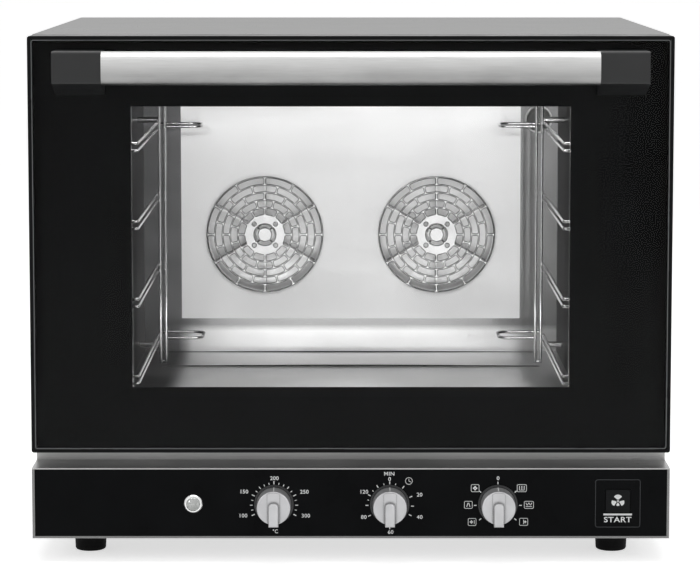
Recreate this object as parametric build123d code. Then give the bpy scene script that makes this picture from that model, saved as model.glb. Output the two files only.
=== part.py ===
from build123d import *
import math
import os

# A bench-top convection oven with a drop-down glass door, two fans and four tray levels.
# Lengths are millimetres. X runs to the right, Y from the door towards the back, Z up.
# "Depth" is the distance behind the door's front face, and lies along +Y.

# Cabinet
oven_width = 760.0
oven_height = 629.0
body_depth = 680.0
handle_reach = 55.0
stub_length = 20.0
sheet = 1.5
frame_plate = 2.0
contact_gap = 0.3

# Feet
foot_height = 30.0
foot_radius = 20.0
foot_taper = 1.5
foot_edge_round = 3.0
foot_side_inset = 62.0
foot_front_inset = 82.0
foot_rear_inset = 80.0
foot_stud_radius = 4.0
foot_stud_length = 12.0

# Control box below the door
control_height = 85.0
fascia_recess = 1.0
fascia_thickness = 2.0
fascia_side_gap = 3.0
fascia_bottom_gap = 2.6
ledge_edge_round = 1.0

# Door
door_thickness = 52.0
door_gap = 4.0
door_floor_gap = 18.7
door_wall = 4.0
door_corner_round = 3.0
glass_recess = 0.5
outer_glass_thickness = 5.0
glass_side_gap = 0.5
border_thickness = 0.8
seat_width = 10.0
seat_thickness = 2.0
window_side = 120.5
window_top_drop = 83.1
window_rise = 78.1
inner_panel_thickness = 2.0
inner_window_margin = 8.0
inner_window_drop = 5.8
inner_glass_thickness = 4.0
inner_glass_lap = 8.0

# Handle
handle_height = 39.0
handle_bar_depth = 24.0
handle_bar_round = 10.5
handle_bar_wall = 2.5
handle_top_drop = 16.3
bracket_width = 57.5
bracket_inset = 33.5
bracket_setback = 3.0
bracket_foot_drop = 14.0
bracket_edge_round = 3.0
handle_screw_radius = 3.0
handle_screw_head_radius = 5.5
handle_screw_head_height = 3.5
handle_screw_depth = 22.0
handle_screw_spacing = 22.0

# Door hinges
hinge_depth = 27.0
hinge_rise = 13.3
hinge_inset = 28.0
hinge_ear_thickness = 6.0
hinge_ear_radius = 9.0
hinge_pin_radius = 4.0
hinge_running_gap = 0.05
hinge_cheek_thickness = 6.0
hinge_cheek_gap = 2.0
hinge_cheek_height = 62.0
hinge_foot_width = 34.0
hinge_foot_height = 62.0
hinge_foot_thickness = 3.0
hinge_slot_gap = 1.0

# Cavity
cavity_side_space = 95.0
cavity_top_space = 44.0
cavity_floor_rise = 56.5
baffle_depth = 525.0
plenum_depth = 45.0
gasket_width = 8.0
gasket_offset = 2.0

# Insulation and motor space
blanket_thickness = 38.0
rear_blanket_thickness = 28.5
bulkhead_thickness = 2.0
hole_gap = 0.4

# Fan baffle and guards
baffle_width = 462.0
baffle_bottom_rise = 51.5
baffle_top_gap = 20.0
baffle_flange = 10.0
baffle_post_radius = 5.0
baffle_post_inset = 18.0
fan_spacing = 234.0
fan_rise = 167.2
guard_radius = 79.5
guard_height = 6.0
guard_sheet = 1.5
guard_seat = 3.0
guard_rows = 5
guard_bridges = 12
guard_row_pitch = 10.4
guard_slot_width = 7.9
guard_rim_web = 2.2
guard_bridge_width = 3.0
guard_slot_round = 1.8
guard_hub_slot_radius = 14.6
guard_hub_slot_width = 4.8
guard_hub_bridge_width = 2.0
guard_hole_circle = 20.5
guard_hole_radius = 2.5

# Fan wheels, shafts and motors
wheel_radius = 85.0
wheel_width = 31.0
wheel_sheet = 2.0
wheel_front_gap = 3.5
wheel_blades = 6
wheel_hub_radius = 12.0
wheel_blade_start = 26.0
shaft_radius = 6.0
shaft_running_gap = 0.05
shaft_wall_gap = 2.0
motor_radius = 44.0
motor_length = 60.0
motor_flange = 100.0
motor_flange_thickness = 3.0
motor_bell_radius = 34.0
motor_bell_length = 8.0
motor_fin_count = 12
motor_fin_height = 3.0
motor_fin_thickness = 3.0

# Heating elements
element_ring_radius = 105.0
element_tube_radius = 4.25
element_depth_share = 0.45
element_gap_angle = 14.0
element_bend_radius = 9.0
element_leg_overrun = 12.0

# Tray racks
tray_levels = 4
tray_pitch = 95.0
lowest_tray_rise = 34.3
rack_wire_radius = 2.0
rail_wire_spacing = 8.8
rail_wall_gap = 26.0
front_upright_wall_gap = 17.7
rear_upright_wall_gap = 29.3
rear_upright_pair_gap = 7.4
rack_front_depth = 96.0
rack_rear_depth = 457.0
rack_head_gap = 22.0
rail_bend_radius = 3.0
stop_loop_reach = 56.0
stop_loop_length = 58.0
stop_loop_bend = 14.0
weld_gap = 0.02
hanger_radius = 4.0

# Cavity lamp
lamp_side_inset = 27.0
lamp_rise = 321.5
lamp_flange_radius = 19.0
lamp_flange_thickness = 3.0
lamp_tube_radius = 14.5
lamp_tube_length = 40.0
lamp_glass_radius = 16.5
lamp_glass_height = 7.0

# Steam vent and cord gland
vent_top_drop = 25.0
vent_stub_radius = 15.0
vent_pipe_radius = 16.0
vent_bore_radius = 13.5
gland_x = -300.0
gland_rise = 40.0
gland_bore_radius = 4.5
gland_neck_radius = 8.0
gland_nut_radius = 12.0
gland_nut_length = 14.0
gland_cap_radius = 9.5
gland_cap_length = 5.0
gland_inner_length = 10.0

# Rotary controls
temperature_x = -91.7
timer_x = 46.4
function_x = 175.4
dial_rise = 41.0
dial_ring_radius = 23.5
dial_ring_width = 2.3
dial_ring_height = 1.6
knob_radius = 20.7
knob_draft = 0.7
knob_reach = 24.0
knob_back_gap = 0.5
knob_edge_round = 1.6
knob_pad_width = 14.4
knob_pad_height = 0.8
ridge_width = 11.8
ridge_rise = 6.5
ridge_drop = 21.5
ridge_height = 8.0
ridge_end_round = 4.6
ridge_edge_round = 2.2
ridge_overlap = 2.0
spindle_radius = 3.0
spindle_running_gap = 0.05
spindle_socket_depth = 15.0
bush_radius = 5.0
bush_front_gap = 0.4
switch_offset = 8.0
switch_size = 42.0
switch_depth = 30.0
switch_bore_depth = 26.0

# Pilot lamp
pilot_x = -188.0
pilot_rise = 41.8
pilot_bezel_radius = 10.9
pilot_bezel_height = 2.6
pilot_lens_radius = 8.6
pilot_lens_height = 4.6
pilot_neck_radius = 8.0
pilot_body_length = 30.0

# Start button
start_x = 318.5
start_rise = 45.2
start_width = 29.0
start_height = 27.1
start_proud = 1.6
start_depth = 7.0
start_side_gap = 0.4
start_travel = 3.0
start_corner = 2.0
start_switch_size = 22.0
start_switch_depth = 24.0
start_collar_wall = 3.0

# Terminal block
terminal_width = 70.0
terminal_depth = 32.0
terminal_height = 24.0
terminal_rear_gap = 40.0
terminal_screws = 5
terminal_screw_radius = 3.0
terminal_screw_height = 2.0

# Rear panel louvres and cabinet screws
louvre_count = 9
louvre_width = 74.0
louvre_height = 5.0
louvre_pitch = 13.0
screw_radius = 2.0
screw_head_radius = 4.5
screw_head_height = 2.4
screw_length = 9.0
screw_inset = 22.0
rear_screw_rows = 3

# Places worked out from the driving sizes
half_width = oven_width / 2
front_y = -(body_depth + stub_length - handle_reach) / 2
ledge_z = foot_height + control_height
cabinet_front = door_thickness + door_gap
frame_back = cabinet_front + frame_plate
rear_inner = body_depth - sheet
cover_z = oven_height - sheet
inner_half_width = half_width - sheet
door_bottom = ledge_z + door_floor_gap
door_top = oven_height
window_bottom = door_bottom + window_rise
window_top = door_top - window_top_drop
window_half = half_width - window_side
glass_half_width = half_width - door_wall - glass_side_gap
glass_bottom = door_bottom + door_wall + glass_side_gap
glass_top = door_top - door_wall - glass_side_gap
glass_back = glass_recess + outer_glass_thickness
border_back = glass_back + border_thickness
inner_panel_front = door_thickness - inner_panel_thickness
inner_window_half = window_half + inner_window_margin
inner_window_bottom = window_bottom - inner_window_margin - inner_window_drop
inner_window_top = window_top + inner_window_margin
hinge_z = door_bottom + hinge_rise
hinge_x = half_width - hinge_inset
cavity_half = half_width - cavity_side_space
floor_z = ledge_z + cavity_floor_rise
ceiling_z = oven_height - cavity_top_space
cavity_rear = baffle_depth + plenum_depth
liner_back = cavity_rear + sheet
bulkhead_front = liner_back + rear_blanket_thickness
bulkhead_back = bulkhead_front + bulkhead_thickness
fan_x = fan_spacing / 2
fan_z = floor_z + fan_rise
baffle_half = baffle_width / 2
baffle_bottom = floor_z + baffle_bottom_rise
baffle_top = ceiling_z - baffle_top_gap
baffle_back = baffle_depth + sheet
wheel_front = baffle_back + wheel_front_gap
wheel_back = wheel_front + wheel_width
motor_back = bulkhead_back + motor_length
element_depth = baffle_back + (cavity_rear - baffle_back) * element_depth_share
lamp_x = cavity_half - lamp_side_inset
lamp_z = floor_z + lamp_rise
vent_z = ceiling_z - vent_top_drop
gland_z = foot_height + gland_rise
dial_z = foot_height + dial_rise
pilot_z = foot_height + pilot_rise
start_z = foot_height + start_rise
fascia_back = fascia_recess + fascia_thickness
bracket_outer = half_width - bracket_inset
bar_half = bracket_outer - bracket_width
handle_top = door_top - handle_top_drop
handle_bottom = handle_top - handle_height
handle_z = (handle_top + handle_bottom) / 2
bar_back = handle_bar_depth - handle_reach
bracket_front = bracket_setback - handle_reach
handle_screw_z = [handle_z - handle_screw_spacing / 2, handle_z + handle_screw_spacing / 2]
handle_screw_x = bracket_outer - bracket_width / 2
rail_half_span = cavity_half - rail_wall_gap
front_upright_half_span = cavity_half - front_upright_wall_gap
rear_upright_half_span = cavity_half - rear_upright_wall_gap
tray_z = [floor_z + lowest_tray_rise + tray_pitch * level for level in range(tray_levels)]
rack_bottom = floor_z + contact_gap
rack_top = ceiling_z - rack_head_gap
dials = {"temperature": temperature_x, "timer": timer_x, "function": function_x}
sides = {"left": -1, "right": 1}


def block(x0, x1, d0, d1, z0, z1):
    """A box between two x values, two depths and two heights."""
    centre = Pos((x0 + x1) / 2, front_y + (d0 + d1) / 2, (z0 + z1) / 2)
    return centre * Box(abs(x1 - x0), abs(d1 - d0), abs(z1 - z0))


def rod(x, z, d0, d1, radius):
    """A round bar that runs from front to back."""
    return Pos(x, front_y + (d0 + d1) / 2, z) * Rot(90, 0, 0) * Cylinder(radius, d1 - d0)


def cross_rod(x0, x1, depth, z, radius):
    """A round bar that runs from side to side."""
    return Pos((x0 + x1) / 2, front_y + depth, z) * Rot(0, 90, 0) * Cylinder(radius, x1 - x0)


def post(x, depth, z0, z1, radius):
    """A round bar that stands upright."""
    return Pos(x, front_y + depth, (z0 + z1) / 2) * Cylinder(radius, z1 - z0)


def plate(sketch, d0, d1):
    """A front-view outline made solid between two depths."""
    return Pos(0, front_y + d0, 0) * extrude(Plane.XZ * sketch, d1 - d0, dir=(0, 1, 0))


def side_plate(points, x0, x1):
    """A side-view outline, given as depth and height, made solid between two x values."""
    outline = Polygon(*[(front_y + depth, z) for depth, z in points], align=None)
    return Pos(x0, 0, 0) * extrude(Plane.YZ * outline, x1 - x0, dir=(1, 0, 0))


def panel(x0, x1, z0, z1, corner=0.0):
    """A front-view rectangle, with rounded corners where a radius is given."""
    shape = RectangleRounded(x1 - x0, z1 - z0, corner) if corner else Rectangle(x1 - x0, z1 - z0)
    return Pos((x0 + x1) / 2, (z0 + z1) / 2) * shape


def hole_at(x, z, radius):
    """A front-view circle."""
    return Pos(x, z) * Circle(radius)


def joined(pieces):
    """One group of separate solids."""
    return Compound(children=list(pieces))


def wire(points, radius, bends):
    """A bent wire through points given as x, depth and height."""
    places = [(x, front_y + depth, z) for x, depth, z in points]
    path = FilletPolyline(*places, radius=bends)
    section = Plane(origin=path @ 0, z_dir=path % 0) * Circle(radius)
    return sweep(section, path)


def both_sides(make):
    """The same piece made on the left and on the right."""
    return {name: make(side) for name, side in sides.items()}


# Cabinet shell


def make_top_cover():
    cover = block(-half_width, half_width, cabinet_front, rear_inner, cover_z, oven_height)
    edges = cover.edges().filter_by(Axis.Y).group_by(Axis.Z)[-1]
    return fillet(edges, sheet * 0.6)


def make_side_panel(side):
    low, high = sorted([side * inner_half_width, side * half_width])
    return block(low, high, cabinet_front, rear_inner, ledge_z, cover_z)


def louvre_slots():
    slots = Sketch()
    for side in sides.values():
        for row in range(louvre_count):
            z = fan_z + (row - (louvre_count - 1) / 2) * louvre_pitch
            slots += Pos(side * fan_x, z) * SlotOverall(louvre_width, louvre_height)
    return slots


def make_rear_panel():
    outline = panel(-half_width, half_width, foot_height, oven_height)
    outline -= louvre_slots()
    outline -= hole_at(0, vent_z, vent_pipe_radius + hole_gap)
    outline -= hole_at(gland_x, gland_z, gland_neck_radius)
    for x, z in rear_screw_places():
        outline -= hole_at(x, z, screw_radius)
    return plate(outline, rear_inner, body_depth)


def rear_screw_places():
    low = foot_height + screw_inset
    step = (oven_height - screw_inset - low) / (rear_screw_rows - 1)
    across = half_width - screw_inset
    return [(side * across, low + step * row) for side in sides.values() for row in range(rear_screw_rows)]


def make_base_tray():
    floor = block(-half_width, half_width, 0, rear_inner, foot_height, foot_height + sheet)
    tray = floor
    for side in sides.values():
        low, high = sorted([side * inner_half_width, side * half_width])
        tray += block(low, high, 0, cabinet_front, foot_height, ledge_z - sheet)
        tray += block(low, high, cabinet_front, rear_inner, foot_height, ledge_z)
        low, high = sorted([side * (half_width - fascia_side_gap), side * half_width])
        tray += block(low, high, 0, fascia_back, foot_height, ledge_z - sheet)
    lip_top = foot_height + fascia_bottom_gap
    tray += block(-half_width, half_width, 0, fascia_back, foot_height, lip_top)
    for x, depth in foot_places():
        tray -= post(x, depth, foot_height, foot_height + sheet, foot_stud_radius)
    return tray


def foot_places():
    across = half_width - foot_side_inset
    depths = [foot_front_inset, body_depth - foot_rear_inset]
    return [(side * across, depth) for depth in depths for side in sides.values()]


def make_feet():
    feet = []
    for x, depth in foot_places():
        base = Cone(foot_radius - foot_taper, foot_radius, foot_height)
        rim = base.edges().group_by(Axis.Z)[0]
        base = fillet(rim, foot_edge_round)
        base = Pos(x, front_y + depth, foot_height / 2) * base
        stud = post(x, depth, foot_height, foot_height + foot_stud_length, foot_stud_radius)
        feet.append(base + stud)
    return joined(feet)


def make_control_ledge():
    ledge = block(-half_width, half_width, 0, cabinet_front, ledge_z - sheet, ledge_z)
    edges = ledge.edges().filter_by(Axis.X).group_by(Axis.Y)[0].group_by(Axis.Z)[-1]
    return fillet(edges, ledge_edge_round)


def make_control_fascia():
    across = half_width - fascia_side_gap
    outline = panel(-across, across, foot_height + fascia_bottom_gap, ledge_z - sheet)
    for x in dials.values():
        outline -= hole_at(x, dial_z, bush_radius)
    outline -= hole_at(pilot_x, pilot_z, pilot_neck_radius)
    outline -= start_outline(start_side_gap)
    return plate(outline, fascia_recess, fascia_back)


def start_outline(gap):
    width, height = start_width / 2 + gap, start_height / 2 + gap
    return panel(start_x - width, start_x + width, start_z - height, start_z + height, start_corner + gap)


# Cavity and its frame


def cavity_outline(grow=0.0):
    return panel(-cavity_half - grow, cavity_half + grow, floor_z - grow, ceiling_z + grow)


def make_front_frame():
    outline = panel(-inner_half_width, inner_half_width, ledge_z, cover_z) - cavity_outline()
    gap = hinge_ear_thickness / 2 + hinge_slot_gap
    for side in sides.values():
        reach = hinge_ear_radius + hinge_slot_gap
        x = side * hinge_x
        outline -= panel(x - gap, x + gap, hinge_z - reach, hinge_z + reach)
    return plate(outline, cabinet_front, frame_back)


def make_cavity_liner():
    liner = plate(cavity_outline(sheet), frame_back, liner_back)
    liner -= plate(cavity_outline(), frame_back, cavity_rear)
    for x, z, radius in rear_wall_holes():
        liner -= rod(x, z, cavity_rear - 1, liner_back + 1, radius)
    return liner


def element_leg_places(side):
    """Where the two legs of one heating element pass the rear wall."""
    turn = math.radians(element_gap_angle)
    across = element_ring_radius * math.sin(turn) - element_bend_radius * math.cos(turn)
    z = fan_z + element_ring_radius * math.cos(turn) + element_bend_radius * math.sin(turn)
    return [(side * fan_x - across, z), (side * fan_x + across, z)]


def rear_wall_holes():
    """Centre and radius of every hole through the rear wall and what lies behind it."""
    holes = [(lamp_x, lamp_z, lamp_tube_radius), (0, vent_z, vent_bore_radius)]
    for side in sides.values():
        holes.append((side * fan_x, fan_z, shaft_radius + shaft_wall_gap))
        holes += [(x, z, element_tube_radius) for x, z in element_leg_places(side)]
    return holes


def make_insulation():
    jacket = plate(cavity_outline(sheet + blanket_thickness), frame_back, liner_back)
    jacket -= plate(cavity_outline(sheet), frame_back, liner_back)
    slab = plate(cavity_outline(sheet + blanket_thickness), liner_back, bulkhead_front)
    for x, z, radius in rear_wall_holes():
        radius = vent_pipe_radius if radius == vent_bore_radius else radius
        slab -= rod(x, z, liner_back, bulkhead_front, radius + hole_gap)
    return joined([jacket, slab])


def make_motor_bulkhead():
    outline = panel(-inner_half_width, inner_half_width, ledge_z, cover_z)
    for x, z, radius in rear_wall_holes():
        radius = vent_pipe_radius if radius == vent_bore_radius else radius
        outline -= hole_at(x, z, radius + hole_gap)
    return plate(outline, bulkhead_front, bulkhead_back)


def make_door_gasket():
    inner = gasket_offset
    ring = cavity_outline(inner + gasket_width) - cavity_outline(inner)
    return plate(ring, door_thickness + contact_gap, cabinet_front)


# Fans


def make_fan_baffle():
    outline = panel(-baffle_half, baffle_half, baffle_bottom, baffle_top)
    for side in sides.values():
        outline -= hole_at(side * fan_x, fan_z, guard_radius - guard_seat)
    baffle = plate(outline, baffle_depth, baffle_back)
    for side in sides.values():
        low, high = sorted([side * (baffle_half - sheet), side * baffle_half])
        baffle += block(low, high, baffle_depth, baffle_back + baffle_flange, baffle_bottom, baffle_top)
        x = side * (baffle_half - baffle_post_inset)
        for z in (baffle_bottom + baffle_post_inset, baffle_top - baffle_post_inset):
            baffle += rod(x, z, baffle_back, cavity_rear, baffle_post_radius)
    return baffle


def spokes(count, width, length, turn):
    """Straight bars through the centre, evenly turned."""
    bars = Sketch()
    for number in range(count):
        bars += Rot(0, 0, turn + number * 180 / count) * Rectangle(width, 2 * length)
    return bars


def guard_slot_outline():
    """The rings of slots in a fan guard, cut by bridges that shift from ring to ring."""
    slots = Sketch()
    bars = guard_bridges // 2
    for row in range(guard_rows):
        outer = guard_radius - guard_rim_web - row * guard_row_pitch
        ring = Circle(outer) - Circle(outer - guard_slot_width)
        turn = (row % 2) * 180 / guard_bridges
        ring -= spokes(bars, guard_bridge_width, guard_radius, turn)
        slots += fillet(ring.vertices(), guard_slot_round)
    hub = Circle(guard_hub_slot_radius) - Circle(guard_hub_slot_radius - guard_hub_slot_width)
    hub -= spokes(2, guard_hub_bridge_width, guard_radius, 45)
    slots += hub
    for turn in range(45, 360, 90):
        slots += Rot(0, 0, turn) * Pos(guard_hole_circle, 0) * Circle(guard_hole_radius)
    return slots


def make_fan_guard(side):
    front = baffle_depth - guard_height
    place = Pos(side * fan_x, fan_z)
    outer = rod(side * fan_x, fan_z, front, baffle_depth, guard_radius)
    rim = outer.edges().group_by(Axis.Y)[0]
    outer = fillet(rim, guard_sheet * 0.8)
    inner = rod(side * fan_x, fan_z, front + guard_sheet, baffle_depth, guard_radius - guard_sheet)
    slots = plate(place * guard_slot_outline(), front - 1, front + guard_sheet + 1)
    return outer - inner - slots


def make_fan_wheel(side):
    x = side * fan_x
    wheel = rod(x, fan_z, wheel_back - wheel_sheet, wheel_back, wheel_radius)
    wheel += rod(x, fan_z, wheel_front, wheel_back, wheel_hub_radius)
    middle = (wheel_blade_start + wheel_radius) / 2
    blade = Rectangle(wheel_sheet, wheel_radius - wheel_blade_start - sheet)
    blades = Sketch()
    for number in range(wheel_blades):
        blades += Rot(0, 0, number * 360 / wheel_blades) * Pos(0, middle) * blade
    wheel += plate(Pos(x, fan_z) * blades, wheel_front, wheel_back - wheel_sheet)
    return wheel - rod(x, fan_z, wheel_front + wheel_sheet, wheel_back, shaft_radius)


def make_fan_shaft(side):
    return rod(side * fan_x, fan_z, wheel_front + wheel_sheet, motor_back - motor_bell_length, shaft_radius)


def make_fan_motor(side):
    x = side * fan_x
    half = motor_flange / 2
    motor = block(x - half, x + half, bulkhead_back, bulkhead_back + motor_flange_thickness, fan_z - half, fan_z + half)
    bell_front = motor_back - motor_bell_length
    motor += rod(x, fan_z, bulkhead_back, bell_front, motor_radius)
    motor += rod(x, fan_z, bell_front, motor_back, motor_bell_radius)
    fins = Sketch()
    for number in range(motor_fin_count):
        turn = Rot(0, 0, (number + 0.5) * 360 / motor_fin_count)
        fin = Rectangle(motor_fin_thickness, 2 * motor_fin_height)
        fins += turn * Pos(0, motor_radius) * fin
    fin_front = bulkhead_back + 2 * motor_flange_thickness
    motor += plate(Pos(x, fan_z) * fins, fin_front, bell_front - motor_flange_thickness)
    return motor - rod(x, fan_z, bulkhead_back, bell_front, shaft_radius + shaft_running_gap)


def make_heating_element(side):
    """One tube: a leg from behind the bulkhead, a ring round the fan wheel, and a leg back."""
    centre = Vector(side * fan_x, front_y + element_depth, fan_z)
    backwards = Vector(0, 1, 0)
    turn = math.radians(element_gap_angle)
    leg_length = bulkhead_back + element_leg_overrun - element_depth - element_bend_radius
    legs = []
    for hand in sides.values():
        end = centre + Vector(hand * math.sin(turn), 0, math.cos(turn)) * element_ring_radius
        along = Vector(-hand * math.cos(turn), 0, math.sin(turn))
        half_bend = along * math.sin(math.pi / 4) + backwards * (1 - math.cos(math.pi / 4))
        middle = end + half_bend * element_bend_radius
        corner = end + (along + backwards) * element_bend_radius
        legs.append((end, middle, corner, corner + backwards * leg_length))
    (left_end, left_middle, left_corner, left_tip), (end, middle, corner, tip) = legs
    ring = ThreePointArc(left_end, centre - Vector(0, 0, element_ring_radius), end)
    path = Line(left_tip, left_corner) + ThreePointArc(left_corner, left_middle, left_end) + ring
    path += ThreePointArc(end, middle, corner) + Line(corner, tip)
    section = Plane(origin=left_tip, z_dir=-backwards) * Circle(element_tube_radius)
    return sweep(section, path)


# Tray racks


def make_rack(side):
    front_x = side * front_upright_half_span
    rear_x = side * rear_upright_half_span
    rail_x = side * rail_half_span
    reach = rack_wire_radius + weld_gap
    front_upright = post(front_x, rack_front_depth, rack_bottom, rack_top, rack_wire_radius)
    wires = [front_upright]
    for place in (rear_x, rear_x - side * rear_upright_pair_gap):
        wires.append(post(place, rack_rear_depth, rack_bottom, rack_top, rack_wire_radius))
    rail_end = rack_rear_depth - reach
    for z in tray_z:
        for height in (z - rail_wire_spacing / 2, z + rail_wire_spacing / 2):
            start = (front_x - side * reach, rack_front_depth, height)
            corner = (rail_x, rack_front_depth, height)
            wires.append(wire([start, corner, (rail_x, rail_end, height)], rack_wire_radius, rail_bend_radius))
    tie_ends = [rear_x - side * reach, rear_x - side * (rear_upright_pair_gap - reach)]
    for z in (rack_bottom + reach, rack_top - reach):
        wires.append(cross_rod(min(tie_ends), max(tie_ends), rack_rear_depth, z, rack_wire_radius))
    return joined(wires + stop_loops(side) + hangers(side))


def stop_loops(side):
    """Flat loops behind the top and bottom trays, which keep a tray off the fan guards."""
    outer_x = side * (rear_upright_half_span - rear_upright_pair_gap - rack_wire_radius - weld_gap)
    inner_x = side * (rear_upright_half_span - stop_loop_reach)
    back = rack_rear_depth + stop_loop_length
    wall_x = side * (rear_upright_half_span + rack_wire_radius)
    loops = []
    for z in (tray_z[0], tray_z[-1]):
        points = [(outer_x, rack_rear_depth, z), (inner_x, rack_rear_depth, z), (inner_x, back, z), (wall_x, back, z)]
        loops.append(wire(points, rack_wire_radius, stop_loop_bend))
    return loops


def hangers(side):
    """Studs that hold the rack off the side wall."""
    start = front_upright_half_span + rack_wire_radius + weld_gap
    studs = []
    for z in (tray_z[0] - rail_wire_spacing, tray_z[-1] + rail_wire_spacing):
        low, high = sorted([side * start, side * cavity_half])
        studs.append(cross_rod(low, high, rack_front_depth, z, hanger_radius))
        start_rear = rear_upright_half_span + rack_wire_radius + weld_gap
        low, high = sorted([side * start_rear, side * cavity_half])
        studs.append(cross_rod(low, high, rack_rear_depth, z, hanger_radius))
    return studs


# Lamp, vent and cord entry


def make_lamp_holder():
    front = cavity_rear - lamp_flange_thickness
    holder = rod(lamp_x, lamp_z, front, cavity_rear, lamp_flange_radius)
    holder += rod(lamp_x, lamp_z, cavity_rear, cavity_rear + lamp_tube_length, lamp_tube_radius)
    return holder


def make_lamp_glass():
    back = cavity_rear - lamp_flange_thickness
    glass = rod(lamp_x, lamp_z, back - lamp_glass_height, back, lamp_glass_radius)
    rim = glass.edges().group_by(Axis.Y)[0]
    return fillet(rim, lamp_glass_height * 0.8)


def make_steam_vent():
    pipe = rod(0, vent_z, liner_back, body_depth, vent_pipe_radius)
    pipe += rod(0, vent_z, body_depth, body_depth + stub_length, vent_stub_radius)
    return pipe - rod(0, vent_z, liner_back, body_depth + stub_length, vent_bore_radius)


def make_cable_gland():
    nut_back = body_depth + gland_nut_length
    hexagon = Pos(gland_x, gland_z) * RegularPolygon(gland_nut_radius, 6)
    gland = plate(hexagon, body_depth, nut_back)
    gland += rod(gland_x, gland_z, nut_back, nut_back + gland_cap_length, gland_cap_radius)
    gland += rod(gland_x, gland_z, rear_inner - gland_inner_length, body_depth, gland_neck_radius)
    bore_back = nut_back + gland_cap_length
    return gland - rod(gland_x, gland_z, rear_inner - gland_inner_length, bore_back, gland_bore_radius)


def make_terminal_block():
    floor = foot_height + sheet
    back = rear_inner - terminal_rear_gap
    half = terminal_width / 2
    top = floor + terminal_height
    body = block(gland_x - half, gland_x + half, back - terminal_depth, back, floor, top)
    step = terminal_width / terminal_screws
    for number in range(terminal_screws):
        x = gland_x - half + step * (number + 0.5)
        body += post(x, back - terminal_depth / 2, top, top + terminal_screw_height, terminal_screw_radius)
    return body


# Controls


def make_dial_rings():
    rings = []
    for x in dials.values():
        ring = hole_at(x, dial_z, dial_ring_radius) - hole_at(x, dial_z, dial_ring_radius - dial_ring_width)
        rings.append(plate(ring, fascia_recess - dial_ring_height, fascia_recess))
    return joined(rings)


def make_knob(x):
    back = fascia_recess - knob_back_gap
    body = Cone(knob_radius, knob_radius - knob_draft, knob_reach)
    body = fillet(body.edges().group_by(Axis.Z)[-1], knob_edge_round)
    body = Pos(x, front_y + back - knob_reach / 2, dial_z) * Rot(90, 0, 0) * body
    face = back - knob_reach
    pad_radius = knob_radius - knob_draft - knob_edge_round
    band = panel(x - knob_pad_width / 2, x + knob_pad_width / 2, dial_z - knob_radius, dial_z + knob_radius)
    pad = plate(band & hole_at(x, dial_z, pad_radius), face - knob_pad_height, face + ridge_overlap)
    outline = panel(x - ridge_width / 2, x + ridge_width / 2, dial_z - ridge_drop, dial_z + ridge_rise)
    outline = fillet(outline.vertices().group_by(Axis.Y)[-1], ridge_end_round)
    ridge = plate(outline, face - ridge_height, face + ridge_overlap)
    ridge = fillet(ridge.edges().group_by(Axis.Y)[0], ridge_edge_round)
    socket = rod(x, dial_z, back - spindle_socket_depth, back, spindle_radius)
    return body + pad + ridge - socket


def make_spindle(x):
    start = fascia_recess - knob_back_gap - spindle_socket_depth
    return rod(x, dial_z, start, fascia_back + switch_offset + switch_bore_depth, spindle_radius)


def make_switch(x, corner):
    """A rotary unit behind the fascia, with the bush that its spindle turns in."""
    half = switch_size / 2
    front = fascia_back + switch_offset
    outline = panel(x - half, x + half, dial_z - half, dial_z + half, corner)
    unit = plate(outline, front, front + switch_depth)
    unit += rod(x, dial_z, fascia_recess + bush_front_gap, front, bush_radius)
    bore = rod(x, dial_z, fascia_recess, front + switch_bore_depth, spindle_radius + spindle_running_gap)
    return unit - bore


def make_pilot_lamp():
    bezel = rod(pilot_x, pilot_z, fascia_recess - pilot_bezel_height, fascia_recess, pilot_bezel_radius)
    rim = bezel.edges().group_by(Axis.Y)[0]
    bezel = chamfer(rim, pilot_bezel_height * 0.4)
    return bezel + rod(pilot_x, pilot_z, fascia_recess, fascia_back + pilot_body_length, pilot_neck_radius)


def make_pilot_lens():
    back = fascia_recess - pilot_bezel_height
    lens = rod(pilot_x, pilot_z, back - pilot_lens_height, back, pilot_lens_radius)
    rim = lens.edges().group_by(Axis.Y)[0]
    return fillet(rim, pilot_lens_height * 0.8)


def make_start_button():
    button = plate(start_outline(0), fascia_recess - start_proud, fascia_recess + start_depth)
    rim = button.faces().sort_by(Axis.Y)[0].edges()
    return fillet(rim, start_proud * 0.3)


def make_start_switch():
    """A switch body behind the button, on a collar that stands on the back of the fascia."""
    front = fascia_recess + start_depth + start_travel + contact_gap
    half = start_switch_size / 2
    outline = panel(start_x - half, start_x + half, start_z - half, start_z + half)
    collar = start_outline(start_side_gap + start_collar_wall)
    switch = plate(collar - start_outline(start_side_gap), fascia_back, front)
    switch += plate(collar, front, front + start_collar_wall)
    return switch + plate(outline, front, front + start_switch_depth)


# Door


def make_door_frame():
    outer = panel(-half_width, half_width, door_bottom, door_top, door_corner_round)
    reach = half_width - door_wall
    inner = panel(-reach, reach, door_bottom + door_wall, door_top - door_wall)
    frame = plate(outer - inner, 0, door_thickness)
    seat_reach = reach - seat_width
    seat = inner - panel(-seat_reach, seat_reach, door_bottom + door_wall + seat_width, door_top - door_wall - seat_width)
    frame += plate(seat, border_back, border_back + seat_thickness)
    return frame - hinge_notches()


def hinge_notches():
    """Room in the door for the two fixed hinge ears as the door swings."""
    gap = hinge_ear_thickness / 2 + hinge_slot_gap
    top = hinge_z + hinge_ear_radius + 2 * hinge_slot_gap
    front = hinge_depth - hinge_ear_radius - 2 * hinge_slot_gap
    notches = Part()
    for side in sides.values():
        x = side * hinge_x
        notches += block(x - gap, x + gap, front, door_thickness + 1, door_bottom - 1, top)
    return notches


def make_outer_glass():
    glass = plate(glass_outline(), glass_recess, glass_back)
    return glass - handle_screw_holes(glass_recess, glass_back)


def glass_outline():
    return panel(-glass_half_width, glass_half_width, glass_bottom, glass_top, door_corner_round)


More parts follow.
